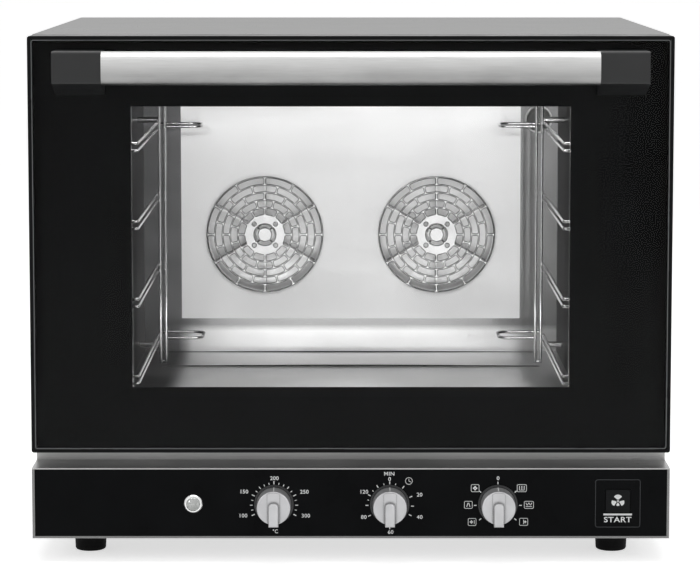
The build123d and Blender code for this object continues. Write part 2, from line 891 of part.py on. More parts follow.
def handle_screw_holes(d0, d1):
    holes = Part()
    for side in sides.values():
        for z in handle_screw_z:
            holes += rod(side * handle_screw_x, z, d0, d1, handle_screw_radius)
    return holes


def make_glass_border():
    window = panel(-window_half, window_half, window_bottom, window_top)
    border = plate(glass_outline() - window, glass_back, border_back)
    return border - handle_screw_holes(glass_back, border_back)


def make_door_inner_panel():
    reach = half_width - door_wall
    outline = panel(-reach, reach, door_bottom + door_wall, door_top - door_wall)
    outline -= panel(-inner_window_half, inner_window_half, inner_window_bottom, inner_window_top)
    return plate(outline, inner_panel_front, door_thickness) - hinge_notches()


def make_inner_glass():
    reach = inner_window_half + inner_glass_lap
    outline = panel(-reach, reach, inner_window_bottom - inner_glass_lap, inner_window_top + inner_glass_lap)
    return plate(outline, inner_panel_front - inner_glass_thickness, inner_panel_front)


def make_handle_bar():
    centre = Pos(front_y + (bar_back - handle_reach) / 2, handle_z)
    section = centre * RectangleRounded(handle_bar_depth, handle_height, handle_bar_round)
    hollow_size = (handle_bar_depth - 2 * handle_bar_wall, handle_height - 2 * handle_bar_wall)
    section -= centre * RectangleRounded(*hollow_size, handle_bar_round - handle_bar_wall)
    return Pos(-bar_half, 0, 0) * extrude(Plane.YZ * section, 2 * bar_half, dir=(1, 0, 0))


def make_handle_bracket(side):
    low, high = sorted([side * bar_half, side * bracket_outer])
    foot = handle_bottom - bracket_foot_drop
    outline = [(glass_recess, foot), (bracket_front, handle_bottom + 2), (bracket_front, handle_top), (glass_recess, handle_top)]
    bracket = side_plate(outline, low, high)
    front_edges = bracket.edges().filter_by(Axis.X).group_by(Axis.Y)[0]
    bracket = fillet(front_edges, bracket_edge_round)
    for z in handle_screw_z:
        bracket -= rod(side * handle_screw_x, z, glass_recess - handle_screw_depth, glass_recess, handle_screw_radius)
    return bracket


def make_handle_screws():
    screws = []
    for side in sides.values():
        for z in handle_screw_z:
            shank = rod(side * handle_screw_x, z, glass_recess - handle_screw_depth, border_back, handle_screw_radius)
            head_back = border_back + handle_screw_head_height
            head = rod(side * handle_screw_x, z, border_back, head_back, handle_screw_head_radius)
            screws.append(shank + head)
    return joined(screws)


def make_hinge_bracket(side):
    """The fixed half of a hinge: a foot behind the frame, an ear through it, and the pin."""
    x = side * hinge_x
    half = hinge_ear_thickness / 2
    ear = block(x - half, x + half, hinge_depth, frame_back, hinge_z - hinge_ear_radius, hinge_z + hinge_ear_radius)
    ear += cross_rod(x - half, x + half, hinge_depth, hinge_z, hinge_ear_radius)
    foot_half = hinge_foot_width / 2
    foot_back = frame_back + hinge_foot_thickness
    low = ledge_z + contact_gap
    ear += block(x - foot_half, x + foot_half, frame_back, foot_back, low, low + hinge_foot_height)
    pin_half = half + hinge_cheek_gap + hinge_cheek_thickness + hinge_slot_gap
    return ear + cross_rod(x - pin_half, x + pin_half, hinge_depth, hinge_z, hinge_pin_radius)


def make_hinge_arm(side):
    """The moving half of a hinge: two cheeks on the pin, joined in front of the ear."""
    x = side * hinge_x
    inner = hinge_ear_thickness / 2 + hinge_cheek_gap
    outer = inner + hinge_cheek_thickness
    low = door_bottom + door_wall + contact_gap
    top = low + hinge_cheek_height
    web_back = hinge_depth - hinge_ear_radius - hinge_cheek_gap
    web_front = web_back - hinge_cheek_thickness / 2
    shoulder = hinge_z + hinge_ear_radius + 2 * hinge_cheek_gap
    cheek_back = hinge_depth + 2 * hinge_ear_radius
    outline = [
        (web_front, low),
        (cheek_back, low),
        (cheek_back, shoulder),
        (inner_panel_front, shoulder),
        (inner_panel_front, top),
        (web_front, top),
    ]
    arm = side_plate(outline, x - outer, x + outer)
    arm -= block(x - inner, x + inner, web_back, inner_panel_front, low - 1, top + 1)
    reach = outer + 1
    return arm - cross_rod(x - reach, x + reach, hinge_depth, hinge_z, hinge_pin_radius + hinge_running_gap)


def make_cabinet_screws():
    screws = []
    for x, z in rear_screw_places():
        head = rod(x, z, body_depth, body_depth + screw_head_height, screw_head_radius)
        rim = head.edges().group_by(Axis.Y)[-1]
        head = fillet(rim, screw_head_height * 0.5)
        screws.append(head + rod(x, z, body_depth - screw_length, body_depth, screw_radius))
    return joined(screws)


def make_all():
    parts = {
        "top_cover": make_top_cover(),
        "rear_panel": make_rear_panel(),
        "base_tray": make_base_tray(),
        "feet": make_feet(),
        "control_ledge": make_control_ledge(),
        "control_fascia": make_control_fascia(),
        "front_frame": make_front_frame(),
        "cavity_liner": make_cavity_liner(),
        "insulation": make_insulation(),
        "motor_bulkhead": make_motor_bulkhead(),
        "door_gasket": make_door_gasket(),
        "fan_baffle": make_fan_baffle(),
        "lamp_holder": make_lamp_holder(),
        "lamp_glass": make_lamp_glass(),
        "steam_vent": make_steam_vent(),
        "cable_gland": make_cable_gland(),
        "terminal_block": make_terminal_block(),
        "dial_rings": make_dial_rings(),
        "thermostat": make_switch(temperature_x, 3.0),
        "timer_unit": make_switch(timer_x, 8.0),
        "selector_switch": make_switch(function_x, 1.5),
        "pilot_lamp": make_pilot_lamp(),
        "pilot_lens": make_pilot_lens(),
        "start_button": make_start_button(),
        "start_switch": make_start_switch(),
        "door_frame": make_door_frame(),
        "outer_glass": make_outer_glass(),
        "glass_border": make_glass_border(),
        "door_inner_panel": make_door_inner_panel(),
        "inner_glass": make_inner_glass(),
        "handle_bar": make_handle_bar(),
        "handle_screws": make_handle_screws(),
        "cabinet_screws": make_cabinet_screws(),
    }
    paired = {
        "side_panel": make_side_panel,
        "fan_guard": make_fan_guard,
        "fan_wheel": make_fan_wheel,
        "fan_shaft": make_fan_shaft,
        "fan_motor": make_fan_motor,
        "heating_element": make_heating_element,
        "rack": make_rack,
        "handle_bracket": make_handle_bracket,
        "hinge_bracket": make_hinge_bracket,
        "hinge_arm": make_hinge_arm,
    }
    for name, make in paired.items():
        for side_name, piece in both_sides(make).items():
            parts[f"{name}_{side_name}"] = piece
    for name, x in dials.items():
        parts[f"{name}_knob"] = make_knob(x)
        parts[f"{name}_spindle"] = make_spindle(x)
    return parts


os.makedirs("parts", exist_ok=True)
for node, shape in make_all().items():
    export_step(shape, f"parts/{node}.step")
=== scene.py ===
import math

import bmesh
import bpy
from bpy.props import FloatProperty, FloatVectorProperty, IntProperty, PointerProperty
from mathutils import Matrix, Vector


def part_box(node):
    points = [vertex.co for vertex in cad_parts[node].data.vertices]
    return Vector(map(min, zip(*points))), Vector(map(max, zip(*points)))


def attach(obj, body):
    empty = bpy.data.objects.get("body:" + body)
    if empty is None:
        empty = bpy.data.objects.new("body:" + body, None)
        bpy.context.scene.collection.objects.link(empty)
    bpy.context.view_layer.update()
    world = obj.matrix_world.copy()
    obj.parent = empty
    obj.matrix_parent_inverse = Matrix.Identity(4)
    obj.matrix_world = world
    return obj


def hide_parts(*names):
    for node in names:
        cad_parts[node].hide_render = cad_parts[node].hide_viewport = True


bl_info = {
    "name": "Convection Oven Dressing",
    "version": (1, 0, 0),
    "blender": (4, 5, 0),
    "location": "3D View > Sidebar > Oven",
    "description": "Finishes, printed scales, trim and studio for a bench-top convection oven",
    "category": "Object",
}

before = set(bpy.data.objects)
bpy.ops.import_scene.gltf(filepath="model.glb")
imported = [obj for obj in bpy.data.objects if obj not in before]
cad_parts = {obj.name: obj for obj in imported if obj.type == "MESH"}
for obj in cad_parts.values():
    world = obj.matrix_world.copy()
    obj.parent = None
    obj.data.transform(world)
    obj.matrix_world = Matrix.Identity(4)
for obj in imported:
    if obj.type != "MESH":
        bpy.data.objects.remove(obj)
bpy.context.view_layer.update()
mm = 0.001


# Settings


def length(name, description, default):
    return FloatProperty(
        name=name, description=description, default=default, unit="LENGTH", subtype="DISTANCE"
    )


def amount(name, description, default):
    return FloatProperty(name=name, description=description, default=default)


def colour(name, description, default):
    return FloatVectorProperty(
        name=name, description=description, default=default, subtype="COLOR", min=0, max=1
    )


class OvenFinishSettings(bpy.types.PropertyGroup):
    """Colours of the oven's surfaces."""

    cabinet_steel: colour("Cabinet steel", "Satin stainless sheet of the cabinet", (0.4, 0.4, 0.398))
    cavity_steel: colour("Cavity steel", "Bright stainless sheet of the cavity", (0.86, 0.86, 0.86))
    # Painted shade: the side walls are the cavity sheet in a dark copy, standing for shade, not a colour of
    # their own.
    painted_wall_shade: colour("Cavity side walls", "Heat-darkened sheet of the side walls", (0.2, 0.2, 0.204))
    enamel: colour("Door enamel", "Black of the door, glass border and fascia", (0.0045, 0.0048, 0.0052))
    handle_steel: colour("Handle steel", "Brushed tube of the handle", (0.72, 0.72, 0.715))
    moulding: colour("Black moulding", "Handle brackets, dial rings and gland", (0.014, 0.0145, 0.015))
    knob_silver: colour("Knob silver", "Silver lacquer of the three knobs", (0.55, 0.55, 0.56))
    ink: colour("Print", "White ink of the scales", (0.86, 0.87, 0.87))
    faint_ink: colour("Faint print", "Grey ink of the frame round the start button", (0.045, 0.047, 0.05))
    wool: colour("Insulation", "Mineral wool round the cavity", (0.42, 0.34, 0.2))
    rubber: colour("Rubber", "Feet and door seal", (0.01, 0.01, 0.01))


class OvenScaleSettings(bpy.types.PropertyGroup):
    """Sizes of the printed scales."""

    ink_height: length("Ink height", "How far the print stands on the fascia", 0.06 * mm)
    tick_inner: length("Tick start", "From the dial's middle to a tick", 25.4 * mm)
    tick_long: length("Long tick", "Length of a numbered tick", 4.0 * mm)
    tick_short: length("Short tick", "Length of a tick between numbers", 2.5 * mm)
    tick_width: length("Tick width", "Width of a numbered tick", 1.15 * mm)
    tick_drop: length("Tick drop", "How far the ticks' circle lies below the dial's middle", 1.2 * mm)
    figure_height: length("Figure height", "Height of the figures", 4.7 * mm)
    start_word_height: length("Start word height", "Height of the word under the start button", 6.6 * mm)
    icon_line: length("Icon line", "Line width of the function icons", 0.62 * mm)


class OvenTrimSettings(bpy.types.PropertyGroup):
    """Sizes of the small trim."""

    rim_width: length("Glass edge width", "Width of the polished edge of the door glass", 0.9 * mm)
    rim_height: length("Glass edge height", "How far that edge stands on the glass", 0.25 * mm)
    pointer_width: length("Pointer width", "Width of the line on a knob's skirt", 1.0 * mm)
    lens_facets: IntProperty(
        name="Lens facets", description="Facets round the pilot lamp's lens", default=14, min=6
    )
    lens_height: length("Lens height", "How far the pilot lens stands from its bezel", 4.5 * mm)


class OvenStudioSettings(bpy.types.PropertyGroup):
    """Camera and lamps."""

    lens: amount("Focal length", "Camera focal length in mm", 147.6)
    camera_y: length("Camera y", "Camera distance along y", -3.692)
    camera_z: length("Camera height", "Camera height above the floor", 0.7586)
    camera_tilt: FloatProperty(
        name="Camera tilt",
        description="Downward tilt",
        default=math.radians(6.07),
        unit="ROTATION",
        subtype="ANGLE",
    )
    camera_rise: amount("Camera rise", "Vertical lens shift", -0.08)
    floor: colour("Floor", "Colour of the floor", (0.86, 0.86, 0.86))
    floor_glow: amount("Floor glow", "How far the seen floor is lifted to white", 0.62)
    overhead: amount("Overhead light", "Power of the large overhead lamp", 20.0)
    front: amount("Front light", "Power of the lamps left and right in front", 18.0)
    rear: amount("Rear light", "Power of the lamp behind the oven", 8.0)
    cavity: amount("Cavity light", "Power of the upper lamp inside the cavity", 0.8)
    cavity_side_share: amount("Side cavity light", "Its share of that power", 0.16)
    cavity_low_share: amount("Lower cavity light", "Its share of that power", 0.23)


# Mesh helpers


def middle(node):
    low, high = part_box(node)
    return (low + high) / 2


def make_piece(name, shape, material, body):
    """A new piece from a bmesh, in its material, riding on a body."""
    bmesh.ops.recalc_face_normals(shape, faces=shape.faces)
    mesh = bpy.data.meshes.new(name)
    shape.to_mesh(mesh)
    shape.free()
    mesh.materials.append(material)
    piece = bpy.data.objects.new(name, mesh)
    bpy.context.scene.collection.objects.link(piece)
    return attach(piece, body)


def add_prism(shape, outline, front, back):
    """A thin plate from a front-view outline of x and z, between two y values."""
    near = [shape.verts.new((x, front, z)) for x, z in outline]
    far = [shape.verts.new((x, back, z)) for x, z in outline]
    shape.faces.new(near)
    shape.faces.new(list(reversed(far)))
    for index, vertex in enumerate(near):
        after = (index + 1) % len(near)
        shape.faces.new((vertex, far[index], far[after], near[after]))


def add_ring(shape, outer, inner, front, back):
    """A thin frame between two outlines with the same number of points."""
    loops = []
    for outline in (outer, inner):
        for y in (front, back):
            loops.append([shape.verts.new((x, y, z)) for x, z in outline])
    outer_near, outer_far, inner_near, inner_far = loops
    count = len(outer)
    for index in range(count):
        after = (index + 1) % count
        for one, other in (
            (outer_near, inner_near),
            (outer_far, inner_far),
            (outer_near, outer_far),
            (inner_near, inner_far),
        ):
            shape.faces.new((one[index], one[after], other[after], other[index]))


def bar_outline(x, z, across, along, turn=0.0):
    """A rectangle in front view, turned clockwise seen from the front."""
    points = []
    for side, end in ((-1, -1), (1, -1), (1, 1), (-1, 1)):
        offset = Matrix.Rotation(-turn, 2) @ Vector((side * across / 2, end * along / 2))
        points.append((x + offset.x, z + offset.y))
    return points


def round_outline(x, z, width, height, corner, steps=6):
    """A rectangle with rounded corners in front view."""
    points = []
    for number, (side, end) in enumerate(((1, 1), (-1, 1), (-1, -1), (1, -1))):
        for step in range(steps + 1):
            angle = math.pi / 2 * (number + step / steps)
            centre_x = x + side * (width / 2 - corner)
            centre_z = z + end * (height / 2 - corner)
            points.append((centre_x + corner * math.cos(angle), centre_z + corner * math.sin(angle)))
    return points


def circle_outline(x, z, radius, steps=32):
    turns = [2 * math.pi * step / steps for step in range(steps)]
    return [(x + radius * math.cos(turn), z + radius * math.sin(turn)) for turn in turns]


def add_text(shape, text, x, z, height, back, ink, widen=1.0, weight=0.022):
    """Lettering in relief, centred on x and z, on a surface that faces the front."""
    capital_share = 0.73
    curve = bpy.data.curves.new("lettering", "FONT")
    curve.body = text
    curve.align_x = "CENTER"
    curve.align_y = "CENTER"
    curve.size = height / capital_share
    curve.offset = weight * height
    curve.extrude = ink / 2
    curve.resolution_u = 4
    curve.space_character = 1.06
    holder = bpy.data.objects.new("lettering", curve)
    bpy.context.scene.collection.objects.link(holder)
    graph = bpy.context.evaluated_depsgraph_get()
    mesh = bpy.data.meshes.new_from_object(holder.evaluated_get(graph))
    place = Matrix.Translation((x, back - ink / 2, z)) @ Matrix.Rotation(math.pi / 2, 4, "X")
    mesh.transform(place @ Matrix.Diagonal((widen, 1, 1, 1)))
    shape.from_mesh(mesh)
    bpy.data.objects.remove(holder)
    bpy.data.curves.remove(curve)
    bpy.data.meshes.remove(mesh)


# Finish helpers


def new_finish(name):
    """A material with its tree and its main shader."""
    material = bpy.data.materials.new(name)
    material.use_nodes = True
    tree = material.node_tree
    return material, tree, tree.nodes["Principled BSDF"]


def grain(tree, scale, stretch=(1, 1, 1), detail=5.0, kind="ShaderNodeTexNoise"):
    """A pattern on the piece's own coordinates, stretched by direction."""
    place = tree.nodes.new("ShaderNodeTexCoord")
    mapping = tree.nodes.new("ShaderNodeMapping")
    mapping.inputs["Scale"].default_value = stretch
    pattern = tree.nodes.new(kind)
    pattern.inputs["Scale"].default_value = scale
    if "Detail" in pattern.inputs:
        pattern.inputs["Detail"].default_value = detail
    tree.links.new(place.outputs["Object"], mapping.inputs["Vector"])
    tree.links.new(mapping.outputs["Vector"], pattern.inputs["Vector"])
    return pattern.outputs[0]


def span(tree, value, low, high, start=0.3, end=0.7):
    """A value mapped to a new range."""
    node = tree.nodes.new("ShaderNodeMapRange")
    node.inputs["From Min"].default_value = start
    node.inputs["From Max"].default_value = end
    node.inputs["To Min"].default_value = low
    node.inputs["To Max"].default_value = high
    tree.links.new(value, node.inputs["Value"])
    return node.outputs["Result"]


def tones(tree, value, dark, light, start=0.3, end=0.7):
    """A colour between two tones."""
    node = tree.nodes.new("ShaderNodeValToRGB")
    first, last = node.color_ramp.elements
    first.position, last.position = start, end
    first.color = (*dark, 1)
    last.color = (*light, 1)
    tree.links.new(value, node.inputs["Fac"])
    return node.outputs["Color"]


def combined(tree, operation, *values):
    """The result of a sum on one or two values."""
    node = tree.nodes.new("ShaderNodeMath")
    node.operation = operation
    for value, socket in zip(values, node.inputs):
        tree.links.new(value, socket)
    return node.outputs[0]


def axes(tree, kind="Object"):
    """The place on the piece, or its Normal, split into X, Y and Z."""
    place = tree.nodes.new("ShaderNodeTexCoord")
    parts = tree.nodes.new("ShaderNodeSeparateXYZ")
    tree.links.new(place.outputs[kind], parts.inputs["Vector"])
    return parts.outputs


def facing(tree, axis):
    """1 on faces square to an axis of the piece, 0 on faces along it."""
    return combined(tree, "ABSOLUTE", axes(tree, "Normal")[axis])


def openness(tree, reach, start, end, inside=False):
    """0 close to a corner or an edge, 1 on the open surface."""
    node = tree.nodes.new("ShaderNodeAmbientOcclusion")
    node.inside = inside
    node.samples = 8
    node.inputs["Distance"].default_value = reach
    return span(tree, node.outputs["AO"], 0.0, 1.0, start, end)


def blend(tree, share, first, second, kind="FLOAT"):
    """A value or colour between two, by a share."""
    node = tree.nodes.new("ShaderNodeMix")
    node.data_type = kind
    sockets = {socket.identifier: socket for socket in node.inputs}
    end = "Color" if kind == "RGBA" else "Float"
    tree.links.new(share, sockets["Factor_Float"])
    tree.links.new(first, sockets[f"A_{end}"])
    tree.links.new(second, sockets[f"B_{end}"])
    results = {socket.identifier: socket for socket in node.outputs}
    return results[f"Result_{end}"]


def repaint(material, share, tone):
    """Another tone where the share is 0, and the finish's own where it is 1."""
    tree = material.node_tree
    base = tree.nodes["Principled BSDF"].inputs["Base Color"]
    own = base.links[0].from_socket
    tree.links.new(blend(tree, share, tone, own, "RGBA"), base)


def scaled(base, factor):
    return tuple(min(1.0, channel * factor) for channel in base)


def relief(tree, shader, value, strength, depth):
    bump = tree.nodes.new("ShaderNodeBump")
    bump.inputs["Strength"].default_value = strength
    bump.inputs["Distance"].default_value = depth
    tree.links.new(value, bump.inputs["Height"])
    tree.links.new(bump.outputs["Normal"], shader.inputs["Normal"])


def brushed_metal(name, base, rough, stretch, fine=900.0, spread=0.06, scratch=0.12, edge=1.0):
    """Metal brushed along one direction, with soft patches of handling."""
    material, tree, shader = new_finish(name)
    shader.inputs["Specular Tint"].default_value = (edge, edge, edge, 1)
    lines = grain(tree, fine, stretch, 3.0)
    patches = grain(tree, 9.0, (1, 1, 1), 4.0)
    shader.inputs["Metallic"].default_value = 1.0
    tree.links.new(tones(tree, lines, scaled(base, 0.9), scaled(base, 1.07)), shader.inputs["Base Color"])
    brushing = span(tree, lines, rough - spread, rough + spread)
    handling = span(tree, patches, -0.03, 0.05)
    tree.links.new(combined(tree, "ADD", brushing, handling), shader.inputs["Roughness"])
    relief(tree, shader, lines, scratch, 0.00004)
    return material


def polished_metal(name, base, rough, patch_scale=7.0, metallic=1.0):
    """Bright sheet with faint smears from wiping."""
    material, tree, shader = new_finish(name)
    smears = grain(tree, patch_scale, (1.0, 1.0, 2.6), 6.0)
    fine = grain(tree, 420.0, (1, 1, 8), 2.0)
    shader.inputs["Metallic"].default_value = metallic
    tree.links.new(tones(tree, smears, scaled(base, 0.9), scaled(base, 1.05)), shader.inputs["Base Color"])
    tree.links.new(span(tree, smears, rough * 0.75, rough * 1.3), shader.inputs["Roughness"])
    relief(tree, shader, fine, 0.03, 0.00004)
    return material


def moulded(name, base, rough, grain_scale=1600.0, bump=0.25, metallic=0.0, coat=0.0, shine=0.5):
    """Moulded or lacquered plastic with a fine surface."""
    material, tree, shader = new_finish(name)
    shader.inputs["Specular IOR Level"].default_value = shine
    fine = grain(tree, grain_scale, (1, 1, 1), 2.0)
    wear = grain(tree, 35.0, (1, 1, 1), 5.0)
    shader.inputs["Metallic"].default_value = metallic
    shader.inputs["Coat Weight"].default_value = coat
    shader.inputs["Coat Roughness"].default_value = 0.12
    tree.links.new(tones(tree, wear, scaled(base, 0.88), scaled(base, 1.1)), shader.inputs["Base Color"])
    tree.links.new(span(tree, wear, rough - 0.05, rough + 0.06), shader.inputs["Roughness"])
    relief(tree, shader, fine, bump, 0.00005)
    return material


def gloss_enamel(name, base, rough, shine):
    """Black enamel: a smooth face with a trace of orange peel and dust."""
    material, tree, shader = new_finish(name)
    peel = grain(tree, 140.0, (1, 1, 1), 2.0)
    dust = grain(tree, 16.0, (1, 1, 1), 7.0)
    shader.inputs["Specular IOR Level"].default_value = shine
    tree.links.new(tones(tree, dust, scaled(base, 0.85), scaled(base, 1.35)), shader.inputs["Base Color"])
    tree.links.new(span(tree, dust, rough * 0.8, rough * 1.25), shader.inputs["Roughness"])
    relief(tree, shader, peel, 0.02, 0.00005)
    return material


def thin_glass(name, tint, bend):
    """Flat sheet glass: see-through, with a reflection that grows towards the edge of sight."""
    material, tree, shader = new_finish(name)
    tree.nodes.remove(shader)
    clear = tree.nodes.new("ShaderNodeBsdfTransparent")
    clear.inputs["Color"].default_value = (*tint, 1)
    mirror = tree.nodes.new("ShaderNodeBsdfGlossy")
    film = grain(tree, 11.0, (1, 1, 1), 6.0)
    tree.links.new(span(tree, film, 0.01, 0.05), mirror.inputs["Roughness"])
    fresnel = tree.nodes.new("ShaderNodeFresnel")
    fresnel.inputs["IOR"].default_value = bend
    mix = tree.nodes.new("ShaderNodeMixShader")
    tree.links.new(fresnel.outputs["Fac"], mix.inputs["Fac"])
    tree.links.new(clear.outputs[0], mix.inputs[1])
    tree.links.new(mirror.outputs[0], mix.inputs[2])
    tree.links.new(mix.outputs[0], tree.nodes["Material Output"].inputs["Surface"])
    return material


def printed_ink(name, base):
    material, tree, shader = new_finish(name)
    speckle = grain(tree, 900.0, (1, 1, 1), 3.0)
    shader.inputs["Specular IOR Level"].default_value = 0.2
    tree.links.new(tones(tree, speckle, scaled(base, 0.92), base), shader.inputs["Base Color"])
    tree.links.new(span(tree, speckle, 0.5, 0.65), shader.inputs["Roughness"])
    return material


def dress(material, *nodes):
    """Puts a material on CAD nodes that keep their own shape."""
    for node in nodes:
        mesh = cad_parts[node].data
        mesh.materials.clear()
        mesh.materials.append(material)


# Operators


class OvenDressing:
    """What every step shares."""

    bl_options = {"REGISTER", "UNDO"}

    @property
    def finish(self):
        return bpy.context.scene.oven_finish

    @property
    def scale(self):
        return bpy.context.scene.oven_scale

    @property
    def trim(self):
        return bpy.context.scene.oven_trim

    @property
    def studio(self):
        return bpy.context.scene.oven_studio


class OVEN_OT_cabinet(OvenDressing, bpy.types.Operator):
    """Steel, enamel and rubber of the cabinet's outside and of what it hides"""

    bl_idname = "oven.cabinet"
    bl_label = "Cabinet finishes"

    def execute(self, context):
        steel = tuple(self.finish.cabinet_steel)
        along_depth = brushed_metal("cabinet_steel_lengthways", steel, 0.34, (60, 1, 60), 30.0, edge=0.4)
        dress(along_depth, "top_cover", "side_panel_left", "side_panel_right")
        across = brushed_metal("cabinet_steel_crossways", steel, 0.33, (1, 60, 60), 30.0)
        dress(across, "rear_panel", "control_ledge", "front_frame")
        # Painted shade: the base is the cabinet's own steel at half tone, so its lip reads darker.
        tray = brushed_metal("tray_steel_shaded", scaled(steel, 0.5), 0.4, (1, 60, 60), 30.0)
        dress(tray, "base_tray")
        enamel = gloss_enamel("fascia_enamel", tuple(self.finish.enamel), 0.3, 0.03)
        dress(enamel, "control_fascia")
        rubber = moulded("foot_rubber", tuple(self.finish.rubber), 0.7, 700.0, 0.5, shine=0.1)
        dress(rubber, "feet")
        zinc = brushed_metal("zinc_plate", (0.5, 0.5, 0.5), 0.32, (1, 1, 1), 500.0)
        dress(zinc, "cabinet_screws")
        gland = moulded("gland_plastic", tuple(self.finish.moulding), 0.45, 900.0, 0.35)
        dress(gland, "cable_gland")
        cream = moulded("switch_plastic", (0.62, 0.6, 0.53), 0.42, 1200.0, 0.2)
        dress(cream, "terminal_block", "thermostat", "timer_unit", "selector_switch", "start_switch")
        wool, tree, shader = new_finish("mineral_wool")
        fibres = grain(tree, 260.0, (1, 1, 5), 8.0)
        base = tuple(self.finish.wool)
        tree.links.new(tones(tree, fibres, scaled(base, 0.6), scaled(base, 1.3)), shader.inputs["Base Color"])
        shader.inputs["Roughness"].default_value = 0.95
        relief(tree, shader, fibres, 0.9, 0.002)
        dress(wool, "insulation")
        casting = moulded("motor_casting", (0.45, 0.45, 0.45), 0.42, 500.0, 0.4, metallic=0.9)
        dress(casting, "fan_motor_left", "fan_motor_right")
        ground = brushed_metal("ground_steel", (0.55, 0.55, 0.55), 0.25, (1, 40, 1), 40.0)
        shafts = [f"{dial}_spindle" for dial in ("temperature", "timer", "function")]
        dress(ground, "fan_shaft_left", "fan_shaft_right", *shafts)
        return {"FINISHED"}


class OVEN_OT_cavity(OvenDressing, bpy.types.Operator):
    """Bright sheet, wires and fans inside the cavity"""

    bl_idname = "oven.cavity"
    bl_label = "Cavity finishes"

    def execute(self, context):
        steel = tuple(self.finish.cavity_steel)
        liner = self.liner_finish(steel)
        dress(liner, "cavity_liner")
        dress(polished_metal("vent_sheet", steel, 0.5, 5.0, 0.75), "steam_vent", "lamp_holder")
        dress(self.baffle_finish(steel), "fan_baffle")
        guard = self.stamped_finish("guard_steel", steel, 30.0, 0.36)
        self.outline_bars(guard)
        dress(guard, "fan_guard_left", "fan_guard_right")
        wire = polished_metal("plated_wire", (0.56, 0.56, 0.56), 0.12, 60.0)
        dress(wire, "rack_left", "rack_right")
        # Painted light: the fan wheels' near-white tone brightens what shows through the guard slots.
        wheel = self.stamped_finish("wheel_steel_painted_light", (0.98, 0.98, 0.98), 22.0, 0.36)
        dress(wheel, "fan_wheel_left", "fan_wheel_right")
        # Painted shade: the near-black bulkhead stands for the dark chamber round the fan wheels.
        shade_dark_bulkhead = brushed_metal("bulkhead_painted_shade", (0.06, 0.058, 0.055), 0.5, (1, 60, 60), 30.0)
        dress(shade_dark_bulkhead, "motor_bulkhead")
        element = moulded("heated_steel", (0.09, 0.075, 0.065), 0.5, 300.0, 0.3, metallic=0.85)
        dress(element, "heating_element_left", "heating_element_right")
        seal = moulded("seal_silicone", tuple(self.finish.rubber), 0.6, 500.0, 0.3, shine=0.2)
        dress(seal, "door_gasket")
        lamp, tree, shader = new_finish("lamp_cover_glass")
        ripple = grain(tree, 60.0, (1, 1, 1), 2.0)
        shader.inputs["Transmission Weight"].default_value = 0.8
        shader.inputs["Specular IOR Level"].default_value = 0.6
        tree.links.new(tones(tree, ripple, (0.75, 0.77, 0.75), (0.9, 0.92, 0.9)), shader.inputs["Base Color"])
        tree.links.new(span(tree, ripple, 0.06, 0.16), shader.inputs["Roughness"])
        dress(lamp, "lamp_glass")
        return {"FINISHED"}

    def liner_finish(self, steel):
        """Satin sheet, softer on floor and ceiling, with painted shade on its side walls, painted dark
        reflections on the strips beside the fan baffle's ends, and a painted shadow under the baffle.
        """
        material, tree, shader = new_finish("cavity_sheet")
        smears = grain(tree, 6.0, (1.0, 1.0, 2.2), 6.0)
        fine = grain(tree, 24.0, (1, 1, 1), 3.0)
        shader.inputs["Metallic"].default_value = 1.0
        level = facing(tree, "Z")
        rough = blend(tree, level, span(tree, smears, 0.28, 0.31), span(tree, smears, 0.28, 0.34))
        tree.links.new(rough, shader.inputs["Roughness"])
        bright = tones(tree, smears, scaled(steel, 0.9), scaled(steel, 1.1))
        # Painted shade: a dark copy of the sheet for the side walls, darker still on the right wall.
        wall = tuple(self.finish.painted_wall_shade)
        left_wall = tones(tree, smears, scaled(wall, 0.6), scaled(wall, 1.3))
        right_wall = tones(tree, smears, scaled(wall, 0.2), scaled(wall, 0.4))
        right = span(tree, axes(tree)["X"], 0.0, 1.0, -50 * mm, 50 * mm)
        dark = blend(tree, right, left_wall, right_wall, "RGBA")
        shaded = tones(tree, smears, scaled(steel, 0.36), scaled(steel, 0.46))
        rear = blend(tree, self.shade_share(tree), bright, shaded, "RGBA")
        # Painted shade and painted dark reflections go into both the colour and the specular tint.
        toned_down = self.side_share(tree)
        tree.links.new(blend(tree, toned_down, rear, dark, "RGBA"), shader.inputs["Base Color"])
        tree.links.new(blend(tree, toned_down, rear, dark, "RGBA"), shader.inputs["Specular Tint"])
        relief(tree, shader, fine, 0.02, 0.0004)
        return material

    def shade_share(self, tree):
        """1 on the rear wall close under the fan baffle's lower edge, 0 further down."""
        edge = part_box("fan_baffle")[0].z
        band_low = edge - 24 * mm
        band_high = edge - 15 * mm
        band = span(tree, axes(tree)["Z"], 0.0, 1.0, band_low, band_high)
        return combined(tree, "MULTIPLY", band, facing(tree, "Y"))

    def side_share(self, tree):
        """Where the painted shade and painted dark reflections go: 1 on the side walls and on the strips next
        to them (less on the right strip), 0 between the fan baffle's ends.
        """
        baffle_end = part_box("fan_baffle")[1].x
        strip_start = baffle_end - 12 * mm
        strip_end = baffle_end + 8 * mm
        right_strip = 0.3
        strip = span(tree, self.side_distance(tree), 0.0, 1.0, strip_start, strip_end)
        # Painted reflection: the right strip keeps under a third of the painted dark, so it reads lighter.
        right_strip_fade = span(tree, axes(tree)["X"], 1.0, right_strip, 0.0, 100 * mm)
        weaker = combined(tree, "MULTIPLY", strip, right_strip_fade)
        return combined(tree, "MAXIMUM", weaker, facing(tree, "X"))

    def side_distance(self, tree):
        """The distance to the left or right of the oven's middle."""
        return combined(tree, "ABSOLUTE", axes(tree)["X"])

    def baffle_finish(self, steel):
        """Satin sheet, with painted light that brightens it towards its ends."""
        sheet = polished_metal("baffle_sheet", steel, 0.5, 5.0, 0.75)
        tree = sheet.node_tree
